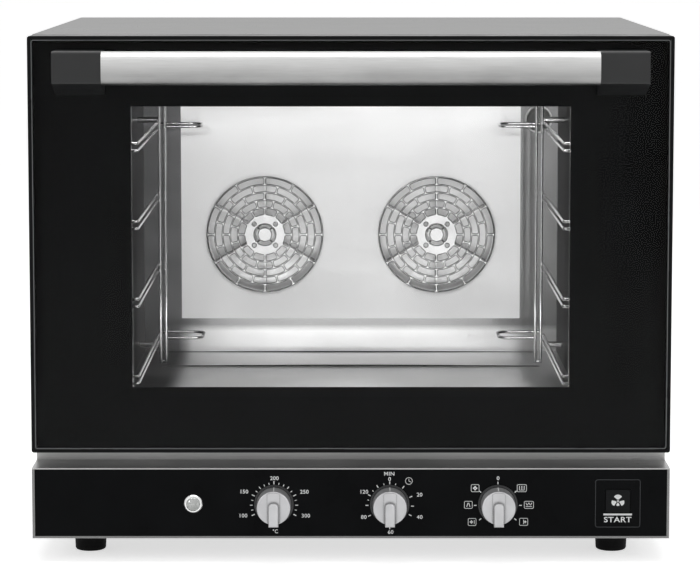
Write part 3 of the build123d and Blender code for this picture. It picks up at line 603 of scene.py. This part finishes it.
        # Painted light: a brighter tone of the sheet for the baffle's ends.
        painted_light_tone = tones(tree, grain(tree, 5.0), scaled(steel, 1.12), scaled(steel, 1.16))
        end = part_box("fan_baffle")[1].x
        own_tone_share = span(tree, self.side_distance(tree), 1.0, 0.0, end * 0.55, end)
        repaint(sheet, own_tone_share, painted_light_tone)
        return sheet

    def outline_bars(self, guard):
        """Painted shade along the edges of the slots, which leaves the wide flats bright."""
        tree = guard.node_tree
        edge_width = 1.35 * mm
        # Painted shade: a near-black tone on the narrow bars.
        painted_edge_shade = tones(tree, grain(tree, 90.0), (0.015, 0.015, 0.015), (0.045, 0.045, 0.045))
        repaint(guard, openness(tree, edge_width, 0.9, 1.0, inside=True), painted_edge_shade)

    def stamped_finish(self, name, steel, stain_scale, rough):
        """Bright on the flat of the sheet, with painted shade on the faces that turn away from the front."""
        material, tree, shader = new_finish(name)
        stain = grain(tree, stain_scale, (1, 1, 1), 6.0)
        shader.inputs["Metallic"].default_value = 1.0
        flat = tones(tree, stain, scaled(steel, 0.9), scaled(steel, 1.1))
        # Painted shade: a dark copy of the steel for faces that turn away from the front.
        painted_side_shade = tones(tree, stain, scaled(steel, 0.08), scaled(steel, 0.18))
        tree.links.new(blend(tree, facing(tree, "Y"), painted_side_shade, flat, "RGBA"), shader.inputs["Base Color"])
        tree.links.new(span(tree, stain, rough * 0.8, rough * 1.25), shader.inputs["Roughness"])
        relief(tree, shader, stain, 0.05, 0.0002)
        return material


class OVEN_OT_floor_beads(OvenDressing, bpy.types.Operator):
    """The two pressed beads that run across the cavity's floor, painted near-black for the shade along them.
    """

    bl_idname = "oven.floor_beads"
    bl_label = "Floor beads"

    def execute(self, context):
        sheet = 1.5 * mm
        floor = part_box("cavity_liner")[0].z + sheet
        half = 252 * mm
        depth = 2.0 * mm
        end_share = 0.3
        steps_across = 24
        rear_bead = (233 * mm, 1.5 * mm)
        front_bead = (104 * mm, 2.4 * mm)
        shape = bmesh.new()
        for y, rise in (rear_bead, front_bead):
            outline = [(-half, floor), (half, floor)]
            for step in range(steps_across + 1):
                x = half * (1 - 2 * step / steps_across)
                bow = end_share + (1 - end_share) * math.cos(math.pi / 2 * x / half)
                outline.append((x, floor + rise * bow))
            add_prism(shape, outline, y, y + depth)
        # Painted shade: the beads' near-black tone stands for the shade along the floor's pressed steps.
        finish = brushed_metal("bead_painted_shade", (0.03, 0.03, 0.03), 0.5, (1, 60, 60), 30.0, edge=0.1)
        piece = make_piece("floor_beads", shape, finish, "cabinet")
        return {"FINISHED"}


class OVEN_OT_door(OvenDressing, bpy.types.Operator):
    """Glass, enamel and steel of the door, and its hinges"""

    bl_idname = "oven.door"
    bl_label = "Door finishes"

    def execute(self, context):
        enamel = tuple(self.finish.enamel)
        dress(gloss_enamel("door_enamel", enamel, 0.3, 0.08), "door_frame")
        dress(gloss_enamel("glass_enamel", scaled(enamel, 1.1), 0.4, 0.0), "glass_border")
        glass = thin_glass("door_glass", (0.985, 0.985, 0.985), 1.2)
        dress(glass, "outer_glass", "inner_glass")
        toned_down = scaled(tuple(self.finish.cabinet_steel), 0.5)
        inner = brushed_metal("door_lining_steel", toned_down, 0.3, (1, 60, 60), 30.0)
        dress(inner, "door_inner_panel")
        plated = brushed_metal("hinge_steel", (0.5, 0.5, 0.5), 0.33, (1, 1, 1), 300.0)
        dress(plated, "hinge_bracket_left", "hinge_bracket_right", "hinge_arm_left", "hinge_arm_right")
        dress(plated, "handle_screws")
        dress(self.handle_finish(), "handle_bar")
        bracket = moulded("bracket_plastic", tuple(self.finish.moulding), 0.4, 1100.0, 0.25, shine=0.38)
        dress(bracket, "handle_bracket_left", "handle_bracket_right")
        return {"FINISHED"}

    def handle_finish(self):
        """Steel brushed along the bar, with a painted reflection that darkens it towards its lower edge."""
        base = tuple(self.finish.handle_steel)
        handle = brushed_metal("handle_steel", base, 0.36, (1, 70, 70), 26.0, 0.08, 0.2)
        tree = handle.node_tree
        low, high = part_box("handle_bar")
        cloud = grain(tree, 14.0, (1, 1, 3), 4.0)
        # Painted reflection: a dark tone that grows towards the bar's lower edge.
        painted_reflection_shade = tones(tree, cloud, scaled(base, 0.22), scaled(base, 0.36))
        repaint(handle, span(tree, axes(tree)["Z"], 0.0, 1.0, low.z, high.z), painted_reflection_shade)
        return handle


class OVEN_OT_glass_edge(OvenDressing, bpy.types.Operator):
    """The polished edge that shows as a fine line round the door glass"""

    bl_idname = "oven.glass_edge"
    bl_label = "Glass edge"

    def execute(self, context):
        low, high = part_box("outer_glass")
        centre = (low + high) / 2
        width = high.x - low.x
        height = high.z - low.z
        corner = 3.0 * mm
        line = self.trim.rim_width
        outer = round_outline(centre.x, centre.z, width, height, corner)
        inner = round_outline(centre.x, centre.z, width - 2 * line, height - 2 * line, corner - line)
        shape = bmesh.new()
        add_ring(shape, outer, inner, low.y - self.trim.rim_height, low.y)
        finish = moulded("ground_glass_edge", (0.15, 0.155, 0.157), 0.3, 800.0, 0.1)
        piece = make_piece("glass_edge", shape, finish, "door")
        return {"FINISHED"}


class OVEN_OT_knobs(OvenDressing, bpy.types.Operator):
    """Silver lacquer of the knobs, their rings, and the pointer line on each skirt"""

    bl_idname = "oven.knobs"
    bl_label = "Knobs"

    def execute(self, context):
        dress(self.lacquer(), "temperature_knob", "timer_knob", "function_knob")
        ring = moulded("ring_plastic", scaled(tuple(self.finish.moulding), 1.6), 0.34, 1200.0, 0.15)
        dress(ring, "dial_rings")
        ink = printed_ink("pointer_ink", tuple(self.finish.ink))
        for dial in ("temperature", "timer", "function"):
            self.add_pointer(dial, ink)
        return {"FINISHED"}

    def lacquer(self):
        """Silver lacquer, with painted shade in the corners of the grip."""
        base = tuple(self.finish.knob_silver)
        lacquer = moulded("knob_lacquer", base, 0.34, 1400.0, 0.12, metallic=0.55, coat=0.2)
        tree = lacquer.node_tree
        corner_width = 3.5 * mm
        # Painted shade: a dark tone close to the grip's corners and edges.
        painted_corner_shade = tones(tree, grain(tree, 120.0), scaled(base, 0.2), scaled(base, 0.3))
        repaint(lacquer, openness(tree, corner_width, 0.45, 0.95), painted_corner_shade)
        return lacquer

    def add_pointer(self, dial, ink):
        axis = middle(f"{dial}_spindle")
        low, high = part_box(f"{dial}_knob")
        skirt_radius = (high.x - low.x) / 2
        shape = bmesh.new()
        half = self.trim.pointer_width / 2
        proud = 0.15 * mm
        draft = 0.7 * mm
        skirt_length = 21.0 * mm
        knob_length = 24.0 * mm
        gap_behind = 0.8 * mm
        sunk = 0.6 * mm
        front_radius = skirt_radius - draft * skirt_length / knob_length
        back = (high.y - gap_behind, skirt_radius)
        front = (high.y - skirt_length, front_radius)
        for y, radius in (back, front):
            for reach in (radius - sunk, radius + proud):
                for x in (-half, half):
                    shape.verts.new((axis.x + x, y, axis.z + reach))
        shape.verts.ensure_lookup_table()
        corners = shape.verts
        for face in ((0, 1, 3, 2), (4, 5, 7, 6), (0, 1, 5, 4), (2, 3, 7, 6), (0, 2, 6, 4), (1, 3, 7, 5)):
            shape.faces.new([corners[index] for index in face])
        piece = make_piece(f"{dial}_pointer", shape, ink, f"{dial}_dial")


class OVEN_OT_scales(OvenDressing, bpy.types.Operator):
    """The printed scales round the three knobs"""

    bl_idname = "oven.scales"
    bl_label = "Dial scales"

    def execute(self, context):
        self.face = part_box("control_fascia")[0].y
        self.ink_finish = printed_ink("scale_ink", tuple(self.finish.ink))
        self.temperature_scale()
        self.timer_scale()
        self.function_scale()
        return {"FINISHED"}

    def add_ink(self, shape, outline):
        add_prism(shape, outline, self.face - self.scale.ink_height, self.face)

    def add_ticks(self, shape, dial, angles, tick_length, share=1.0):
        """Ticks on a circle, at angles in degrees clockwise from the top."""
        axis = middle(f"{dial}_spindle")
        reach = self.scale.tick_inner + tick_length / 2
        for angle in angles:
            turn = math.radians(angle)
            x = axis.x + reach * math.sin(turn)
            z = axis.z - self.scale.tick_drop + reach * math.cos(turn)
            self.add_ink(shape, bar_outline(x, z, self.scale.tick_width * share, tick_length, turn))

    def add_figures(self, shape, dial, figures, widen=1.04):
        """Figures at places given in millimetres from the dial's middle."""
        axis = middle(f"{dial}_spindle")
        for text, right, up in figures:
            place = (axis.x + right * mm, axis.z + up * mm)
            add_text(shape, text, *place, self.scale.figure_height, self.face, self.scale.ink_height, widen)

    def finish_print(self, shape, dial):
        piece = make_piece(f"{dial}_scale", shape, self.ink_finish, "cabinet")

    def temperature_scale(self):
        shape = bmesh.new()
        step = 12.8
        numbered = (0, 5, -5, 9, -9)
        longer = (3, -3, 7, -7)
        between = [n for n in range(-9, 10) if n not in numbered and n not in longer]
        self.add_ticks(shape, "temperature", [n * step for n in numbered], self.scale.tick_long)
        self.add_ticks(shape, "temperature", [n * step for n in longer], self.scale.tick_long * 0.85, 0.9)
        self.add_ticks(shape, "temperature", [n * step for n in between], self.scale.tick_short, 0.8)
        figures = (
            ("100", -37.0, -13.9),
            ("150", -35.8, 15.2),
            ("200", 0.6, 31.4),
            ("250", 36.3, 15.0),
            ("300", 37.9, -14.0),
        )
        self.add_figures(shape, "temperature", figures)
        self.add_figures(shape, "temperature", (("°C", 1.5, -33.0),), 0.9)
        self.finish_print(shape, "temperature")

    def timer_scale(self):
        shape = bmesh.new()
        longer = (0, 36.3, 67.7, 92, 116, 180, -117.5, -90, -63.3, -32.6)
        between = (15.4, -15.4, -49, -76)
        self.add_ticks(shape, "timer", longer, self.scale.tick_long * 0.9)
        self.add_ticks(shape, "timer", between, self.scale.tick_short * 0.8, 0.8)
        figures = (
            ("0", -0.2, 30.4),
            ("20", 35.6, 11.5),
            ("40", 35.8, -15.6),
            ("60", 1.1, -33.8),
            ("80", -30.9, -15.6),
            ("120", -30.8, 15.0),
        )
        self.add_figures(shape, "timer", figures)
        self.add_figures(shape, "timer", (("MIN", -0.6, 36.8),), 1.08)
        axis = middle("timer_spindle")
        self.add_clock(shape, axis.x + 22.8 * mm, axis.z + 28.3 * mm)
        self.finish_print(shape, "timer")

    def add_clock(self, shape, x, z):
        radius = 4.4 * mm
        line = self.scale.icon_line
        near = self.face - self.scale.ink_height
        add_ring(shape, circle_outline(x, z, radius), circle_outline(x, z, radius - line), near, self.face)
        hand = 3.0 * mm
        self.add_ink(shape, bar_outline(x, z + hand / 2 - line / 2, line, hand))
        turn = math.radians(120)
        hand_x = x + math.sin(turn) * hand / 2
        hand_z = z + math.cos(turn) * hand / 2
        self.add_ink(shape, bar_outline(hand_x, hand_z, line, hand, turn))

    def function_scale(self):
        shape = bmesh.new()
        self.add_ticks(shape, "function", (0, 52, 90, 129, -129, -90, -52), self.scale.tick_long * 0.8)
        self.add_figures(shape, "function", (("0", 0.1, 31.4),))
        axis = middle("function_spindle")
        icons = (
            (-27.2, 19.6, 10.0, self.fan_icon),
            (-35.2, -0.6, 10.0, self.steam_icon),
            (-30.6, -21.4, 10.0, self.low_fan_icon),
            (28.5, 19.6, 11.6, self.element_icon),
            (37.0, -0.6, 11.6, self.grill_icon),
            (30.9, -21.2, 10.4, self.high_fan_icon),
        )
        for right, up, width, draw in icons:
            x = axis.x + right * mm
            z = axis.z + up * mm
            self.add_icon_frame(shape, x, z, width * mm)
            draw(shape, x, z)
        self.finish_print(shape, "function")

    def add_icon_frame(self, shape, x, z, width):
        height = 9.2 * mm
        corner = 1.6 * mm
        line = self.scale.icon_line
        outer = round_outline(x, z, width, height, corner, 4)
        inner = round_outline(x, z, width - 2 * line, height - 2 * line, corner - line, 4)
        add_ring(shape, outer, inner, self.face - self.scale.ink_height, self.face)

    def add_mark(self, shape, x, z, across, along, turn=0.0):
        """A straight stroke, in millimetres."""
        self.add_ink(shape, bar_outline(x, z, across * mm, along * mm, math.radians(turn)))

    def fan_icon(self, shape, x, z, size=1.0):
        reach = 1.6 * mm * size
        radius = 1.15 * mm * size
        for number in range(4):
            turn = math.pi / 2 * number
            blade_x = x + reach * math.sin(turn)
            blade_z = z + reach * math.cos(turn)
            self.add_ink(shape, circle_outline(blade_x, blade_z, radius, 12))

    def steam_icon(self, shape, x, z):
        for right, lean in ((-1.2, 18), (1.2, -18)):
            self.add_mark(shape, x + right * mm, z, 0.9, 5.0, lean)

    def low_fan_icon(self, shape, x, z):
        self.fan_icon(shape, x - 0.8 * mm, z, 0.75)
        self.add_mark(shape, x + 2.6 * mm, z, 0.7, 4.6)

    def element_icon(self, shape, x, z):
        for right in (-2.8, 0, 2.8):
            self.add_mark(shape, x + right * mm, z, 0.9, 5.4)
        self.add_mark(shape, x, z - 2.4 * mm, 6.4, 0.7)

    def grill_icon(self, shape, x, z):
        for number, lean in enumerate((-28, 28, -28, 28)):
            self.add_mark(shape, x + (number - 1.5) * 1.9 * mm, z + 1.0 * mm, 0.75, 3.4, lean)
        self.add_mark(shape, x, z - 2.0 * mm, 7.4, 0.7)

    def high_fan_icon(self, shape, x, z):
        self.add_mark(shape, x, z, 0.8, 5.4)
        self.add_mark(shape, x + 1.9 * mm, z, 2.4, 2.4, 45)


class OVEN_OT_start_block(OvenDressing, bpy.types.Operator):
    """The start button's finish and the print on and round it"""

    bl_idname = "oven.start_block"
    bl_label = "Start block"

    def execute(self, context):
        button = gloss_enamel("button_plastic", scaled(tuple(self.finish.enamel), 1.5), 0.34, 0.08)
        dress(button, "start_button")
        ink = printed_ink("start_ink", tuple(self.finish.ink))
        self.add_fan_mark(ink)
        self.add_words(ink)
        self.add_outline()
        return {"FINISHED"}

    def add_fan_mark(self, ink):
        """A four-blade fan on the button's face, which moves with the button."""
        low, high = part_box("start_button")
        centre = (low + high) / 2
        near = low.y - self.scale.ink_height
        blades = ((0, 42, 8.0), (112, 30, 8.0), (180, 24, 5.8), (-112, 30, 8.0))
        tip_steps = 12
        tip_bow = 0.12
        root_share = 0.6
        root = 2.2 * mm
        hub_radius = 1.3 * mm
        bore_radius = 0.6 * mm
        shape = bmesh.new()
        for turn, spread, reach in blades:
            corners = []
            for step in range(tip_steps + 1):
                share = step / tip_steps * 2 - 1
                corners.append((share, reach * mm * (1 - tip_bow * share * share)))
            corners += [(root_share, root), (-root_share, root)]
            outline = []
            for share, radius in corners:
                angle = math.radians(turn + spread * share)
                outline.append((centre.x + radius * math.sin(angle), centre.z + radius * math.cos(angle)))
            add_prism(shape, outline, near, low.y)
        hub = [circle_outline(centre.x, centre.z, radius, 20) for radius in (hub_radius, bore_radius)]
        add_ring(shape, *hub, near, low.y)
        piece = make_piece("start_fan_mark", shape, ink, "start_key")

    def add_words(self, ink):
        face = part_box("control_fascia")[0].y
        low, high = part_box("start_button")
        x = (low.x + high.x) / 2
        shape = bmesh.new()
        ink_height = self.scale.ink_height
        bar_width = 34.2 * mm
        bar_height = 2.2 * mm
        bar_z = low.z - 2.9 * mm
        word_z = bar_z - 6.6 * mm
        widen = 1.2
        add_prism(shape, bar_outline(x, bar_z, bar_width, bar_height), face - ink_height, face)
        add_text(shape, "START", x, word_z, self.scale.start_word_height, face, ink_height, widen)
        piece = make_piece("start_word", shape, ink, "cabinet")

    def add_outline(self):
        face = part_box("control_fascia")[0].y
        low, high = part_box("start_button")
        x = (low.x + high.x) / 2
        top = high.z + 12.4 * mm
        bottom = low.z - 18.6 * mm
        line = 0.8 * mm
        corner = 3.0 * mm
        width = 54.0 * mm
        height = top - bottom
        z = (top + bottom) / 2
        outer = round_outline(x, z, width, height, corner)
        inner = round_outline(x, z, width - 2 * line, height - 2 * line, corner - line)
        shape = bmesh.new()
        add_ring(shape, outer, inner, face - self.scale.ink_height, face)
        ink = printed_ink("outline_ink", tuple(self.finish.faint_ink))
        piece = make_piece("start_outline", shape, ink, "cabinet")


class OVEN_OT_pilot_lamp(OvenDressing, bpy.types.Operator):
    """The pilot lamp's bright bezel and faceted lens"""

    bl_idname = "oven.pilot_lamp"
    bl_label = "Pilot lamp"

    def execute(self, context):
        bezel = polished_metal("pilot_bezel_steel", (0.75, 0.75, 0.75), 0.16, 50.0)
        dress(bezel, "pilot_lamp")
        low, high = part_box("pilot_lens")
        centre = (low + high) / 2
        radius = (high.x - low.x) / 2
        profile = ((1.0, 0.0), (0.97, 0.32), (0.78, 0.62), (0.5, 0.84), (0.22, 0.96))
        count = self.trim.lens_facets
        shape = bmesh.new()
        rings = []
        for row, (share, rise) in enumerate(profile):
            y = high.y - self.trim.lens_height * rise
            shift = 0.5 * (row % 2)
            ring = []
            for number in range(count):
                turn = 2 * math.pi * (number + shift) / count
                x = centre.x + radius * share * math.cos(turn)
                z = centre.z + radius * share * math.sin(turn)
                ring.append(shape.verts.new((x, y, z)))
            rings.append(ring)
        for row in range(len(rings) - 1):
            self.join_facets(shape, rings[row], rings[row + 1], row % 2)
        tip = shape.verts.new((centre.x, high.y - self.trim.lens_height, centre.z))
        back = shape.verts.new((centre.x, high.y, centre.z))
        for number in range(count):
            after = (number + 1) % count
            shape.faces.new((rings[-1][number], rings[-1][after], tip))
            shape.faces.new((rings[0][after], rings[0][number], back))
        lens, tree, shader = new_finish("pilot_lens_plastic")
        haze = grain(tree, 90.0, (1, 1, 1), 3.0)
        shader.inputs["Transmission Weight"].default_value = 0.3
        shader.inputs["Metallic"].default_value = 0.6
        tree.links.new(tones(tree, haze, (0.36, 0.37, 0.36), (0.62, 0.63, 0.62)), shader.inputs["Base Color"])
        tree.links.new(span(tree, haze, 0.05, 0.14), shader.inputs["Roughness"])
        piece = make_piece("pilot_lens_facets", shape, lens, "cabinet")
        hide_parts("pilot_lens")
        return {"FINISHED"}

    def join_facets(self, shape, lower, upper, odd):
        count = len(lower)
        for number in range(count):
            after = (number + 1) % count
            if odd:
                shape.faces.new((lower[number], upper[number], upper[after]))
                shape.faces.new((lower[number], upper[after], lower[after]))
            else:
                shape.faces.new((lower[number], lower[after], upper[number]))
                shape.faces.new((lower[after], upper[after], upper[number]))


class OVEN_OT_stage(OvenDressing, bpy.types.Operator):
    """Floor, backdrop, lamps, world and camera"""

    bl_idname = "oven.stage"
    bl_label = "Studio"

    def execute(self, context):
        self.add_floor()
        self.set_world()
        self.add_lamps()
        self.add_camera()
        bpy.context.scene.view_settings.view_transform = "Standard"
        return {"FINISHED"}

    def add_floor(self):
        """A wide plain floor."""
        material, tree, shader = new_finish("studio_floor")
        mottle = grain(tree, 2.0, (1, 1, 1), 3.0)
        base = tuple(self.studio.floor)
        tree.links.new(tones(tree, mottle, scaled(base, 0.99), base), shader.inputs["Base Color"])
        shader.inputs["Roughness"].default_value = 0.9
        shader.inputs["Specular IOR Level"].default_value = 0.1
        shader.inputs["Emission Color"].default_value = (1, 1, 1, 1)
        glow = span(tree, self.seen_rays(tree), 0.0, self.studio.floor_glow, 0.0, 1.0)
        tree.links.new(glow, shader.inputs["Emission Strength"])
        half = 40.0
        corners = ((-half, -half), (half, -half), (half, half), (-half, half))
        shape = bmesh.new()
        shape.faces.new([shape.verts.new((x, y, 0.0)) for x, y in corners])
        mesh = bpy.data.meshes.new("studio_floor")
        shape.to_mesh(mesh)
        shape.free()
        mesh.materials.append(material)
        floor = bpy.data.objects.new("studio_floor", mesh)
        bpy.context.scene.collection.objects.link(floor)

    def seen_rays(self, tree):
        """1 for what the camera sees directly, mirrored or through glass, and 0 for the rest."""
        path = tree.nodes.new("ShaderNodeLightPath")
        value = path.outputs["Is Camera Ray"]
        for other in ("Is Glossy Ray", "Is Transmission Ray"):
            value = combined(tree, "MAXIMUM", value, path.outputs[other])
        return value

    def set_world(self):
        world = bpy.data.worlds.new("studio_world")
        bpy.context.scene.world = world
        world.use_nodes = True
        tree = world.node_tree
        ambient = tree.nodes["Background"]
        ambient.inputs["Color"].default_value = (0.42, 0.42, 0.42, 1)
        backdrop = tree.nodes.new("ShaderNodeBackground")
        backdrop.inputs["Color"].default_value = (1, 1, 1, 1)
        mix = tree.nodes.new("ShaderNodeMixShader")
        tree.links.new(self.seen_rays(tree), mix.inputs["Fac"])
        tree.links.new(ambient.outputs[0], mix.inputs[1])
        tree.links.new(backdrop.outputs[0], mix.inputs[2])
        tree.links.new(mix.outputs[0], tree.nodes["World Output"].inputs["Surface"])

    def add_lamp(self, name, place, target, width, height, power):
        light = bpy.data.lights.new(name, "AREA")
        light.shape = "RECTANGLE"
        light.size = width
        light.size_y = height
        light.energy = power
        lamp = bpy.data.objects.new(name, light)
        bpy.context.scene.collection.objects.link(lamp)
        lamp.location = place
        direction = Vector(target) - Vector(place)
        lamp.rotation_euler = direction.to_track_quat("-Z", "Y").to_euler()
        return lamp

    def add_lamps(self):
        oven_middle = (0, 0, 0.4)
        front_target = (0, 0, 0.35)
        self.add_lamp("overhead_lamp", (0, -0.6, 2.6), oven_middle, 2.6, 1.6, self.studio.overhead)
        for side in (-1, 1):
            place = (side * 2.4, -2.6, 1.7)
            self.add_lamp("front_lamp", place, front_target, 1.2, 1.6, self.studio.front)
        self.add_lamp("rear_lamp", (0, 3.0, 2.2), oven_middle, 2.4, 1.2, self.studio.rear)
        self.add_cavity_lamps()

    def add_cavity_lamps(self):
        """Slim lamps just inside the cavity's opening: above, below and at the right."""
        low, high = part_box("cavity_liner")
        front = low.y + 30 * mm
        power = self.studio.cavity
        above = (0, front, high.z - 12 * mm)
        target = (0, high.y, low.z + 100 * mm)
        self.add_lamp("cavity_upper_lamp", above, target, 0.56, 0.02, power)
        below = (0, front, low.z + 14 * mm)
        target = (0, high.y, low.z + 120 * mm)
        self.add_lamp("cavity_lower_lamp", below, target, 0.44, 0.015, power * self.studio.cavity_low_share)
        beside = (high.x - 11 * mm, front, (low.z + high.z) / 2)
        target = (100 * mm, high.y, beside[2])
        self.add_lamp("cavity_side_lamp", beside, target, 0.014, 0.36, power * self.studio.cavity_side_share)

    def add_camera(self):
        camera = bpy.data.cameras.new("camera")
        camera.lens = self.studio.lens
        camera.sensor_width = 36
        camera.shift_y = self.studio.camera_rise
        camera.clip_end = 100
        holder = bpy.data.objects.new("camera", camera)
        bpy.context.scene.collection.objects.link(holder)
        camera_x = -1 * mm
        holder.location = (camera_x, self.studio.camera_y, self.studio.camera_z)
        holder.rotation_euler = (math.pi / 2 - self.studio.camera_tilt, 0, 0)
        bpy.context.scene.camera = holder


class OVEN_PT_sidebar(bpy.types.Panel):
    """The steps that dress the oven"""

    bl_idname = "OVEN_PT_sidebar"
    bl_label = "Convection oven"
    bl_space_type = "VIEW_3D"
    bl_region_type = "UI"
    bl_category = "Oven"

    def draw(self, context):
        for step in steps:
            self.layout.operator(step.bl_idname)


steps = (
    OVEN_OT_cabinet,
    OVEN_OT_cavity,
    OVEN_OT_floor_beads,
    OVEN_OT_door,
    OVEN_OT_glass_edge,
    OVEN_OT_knobs,
    OVEN_OT_scales,
    OVEN_OT_start_block,
    OVEN_OT_pilot_lamp,
    OVEN_OT_stage,
)
groups = {
    "oven_finish": OvenFinishSettings,
    "oven_scale": OvenScaleSettings,
    "oven_trim": OvenTrimSettings,
    "oven_studio": OvenStudioSettings,
}


def register():
    for name, group in groups.items():
        bpy.utils.register_class(group)
        setattr(bpy.types.Scene, name, PointerProperty(type=group))
    for step in steps:
        bpy.utils.register_class(step)
    bpy.utils.register_class(OVEN_PT_sidebar)


def unregister():
    bpy.utils.unregister_class(OVEN_PT_sidebar)
    for step in reversed(steps):
        bpy.utils.unregister_class(step)
    for name, group in groups.items():
        delattr(bpy.types.Scene, name)
        bpy.utils.unregister_class(group)


def main():
    register()
    bpy.ops.oven.cabinet()
    bpy.ops.oven.cavity()
    bpy.ops.oven.floor_beads()
    bpy.ops.oven.door()
    bpy.ops.oven.glass_edge()
    bpy.ops.oven.knobs()
    bpy.ops.oven.scales()
    bpy.ops.oven.start_block()
    bpy.ops.oven.pilot_lamp()
    bpy.ops.oven.stage()


if __name__ == "__main__":
    main()
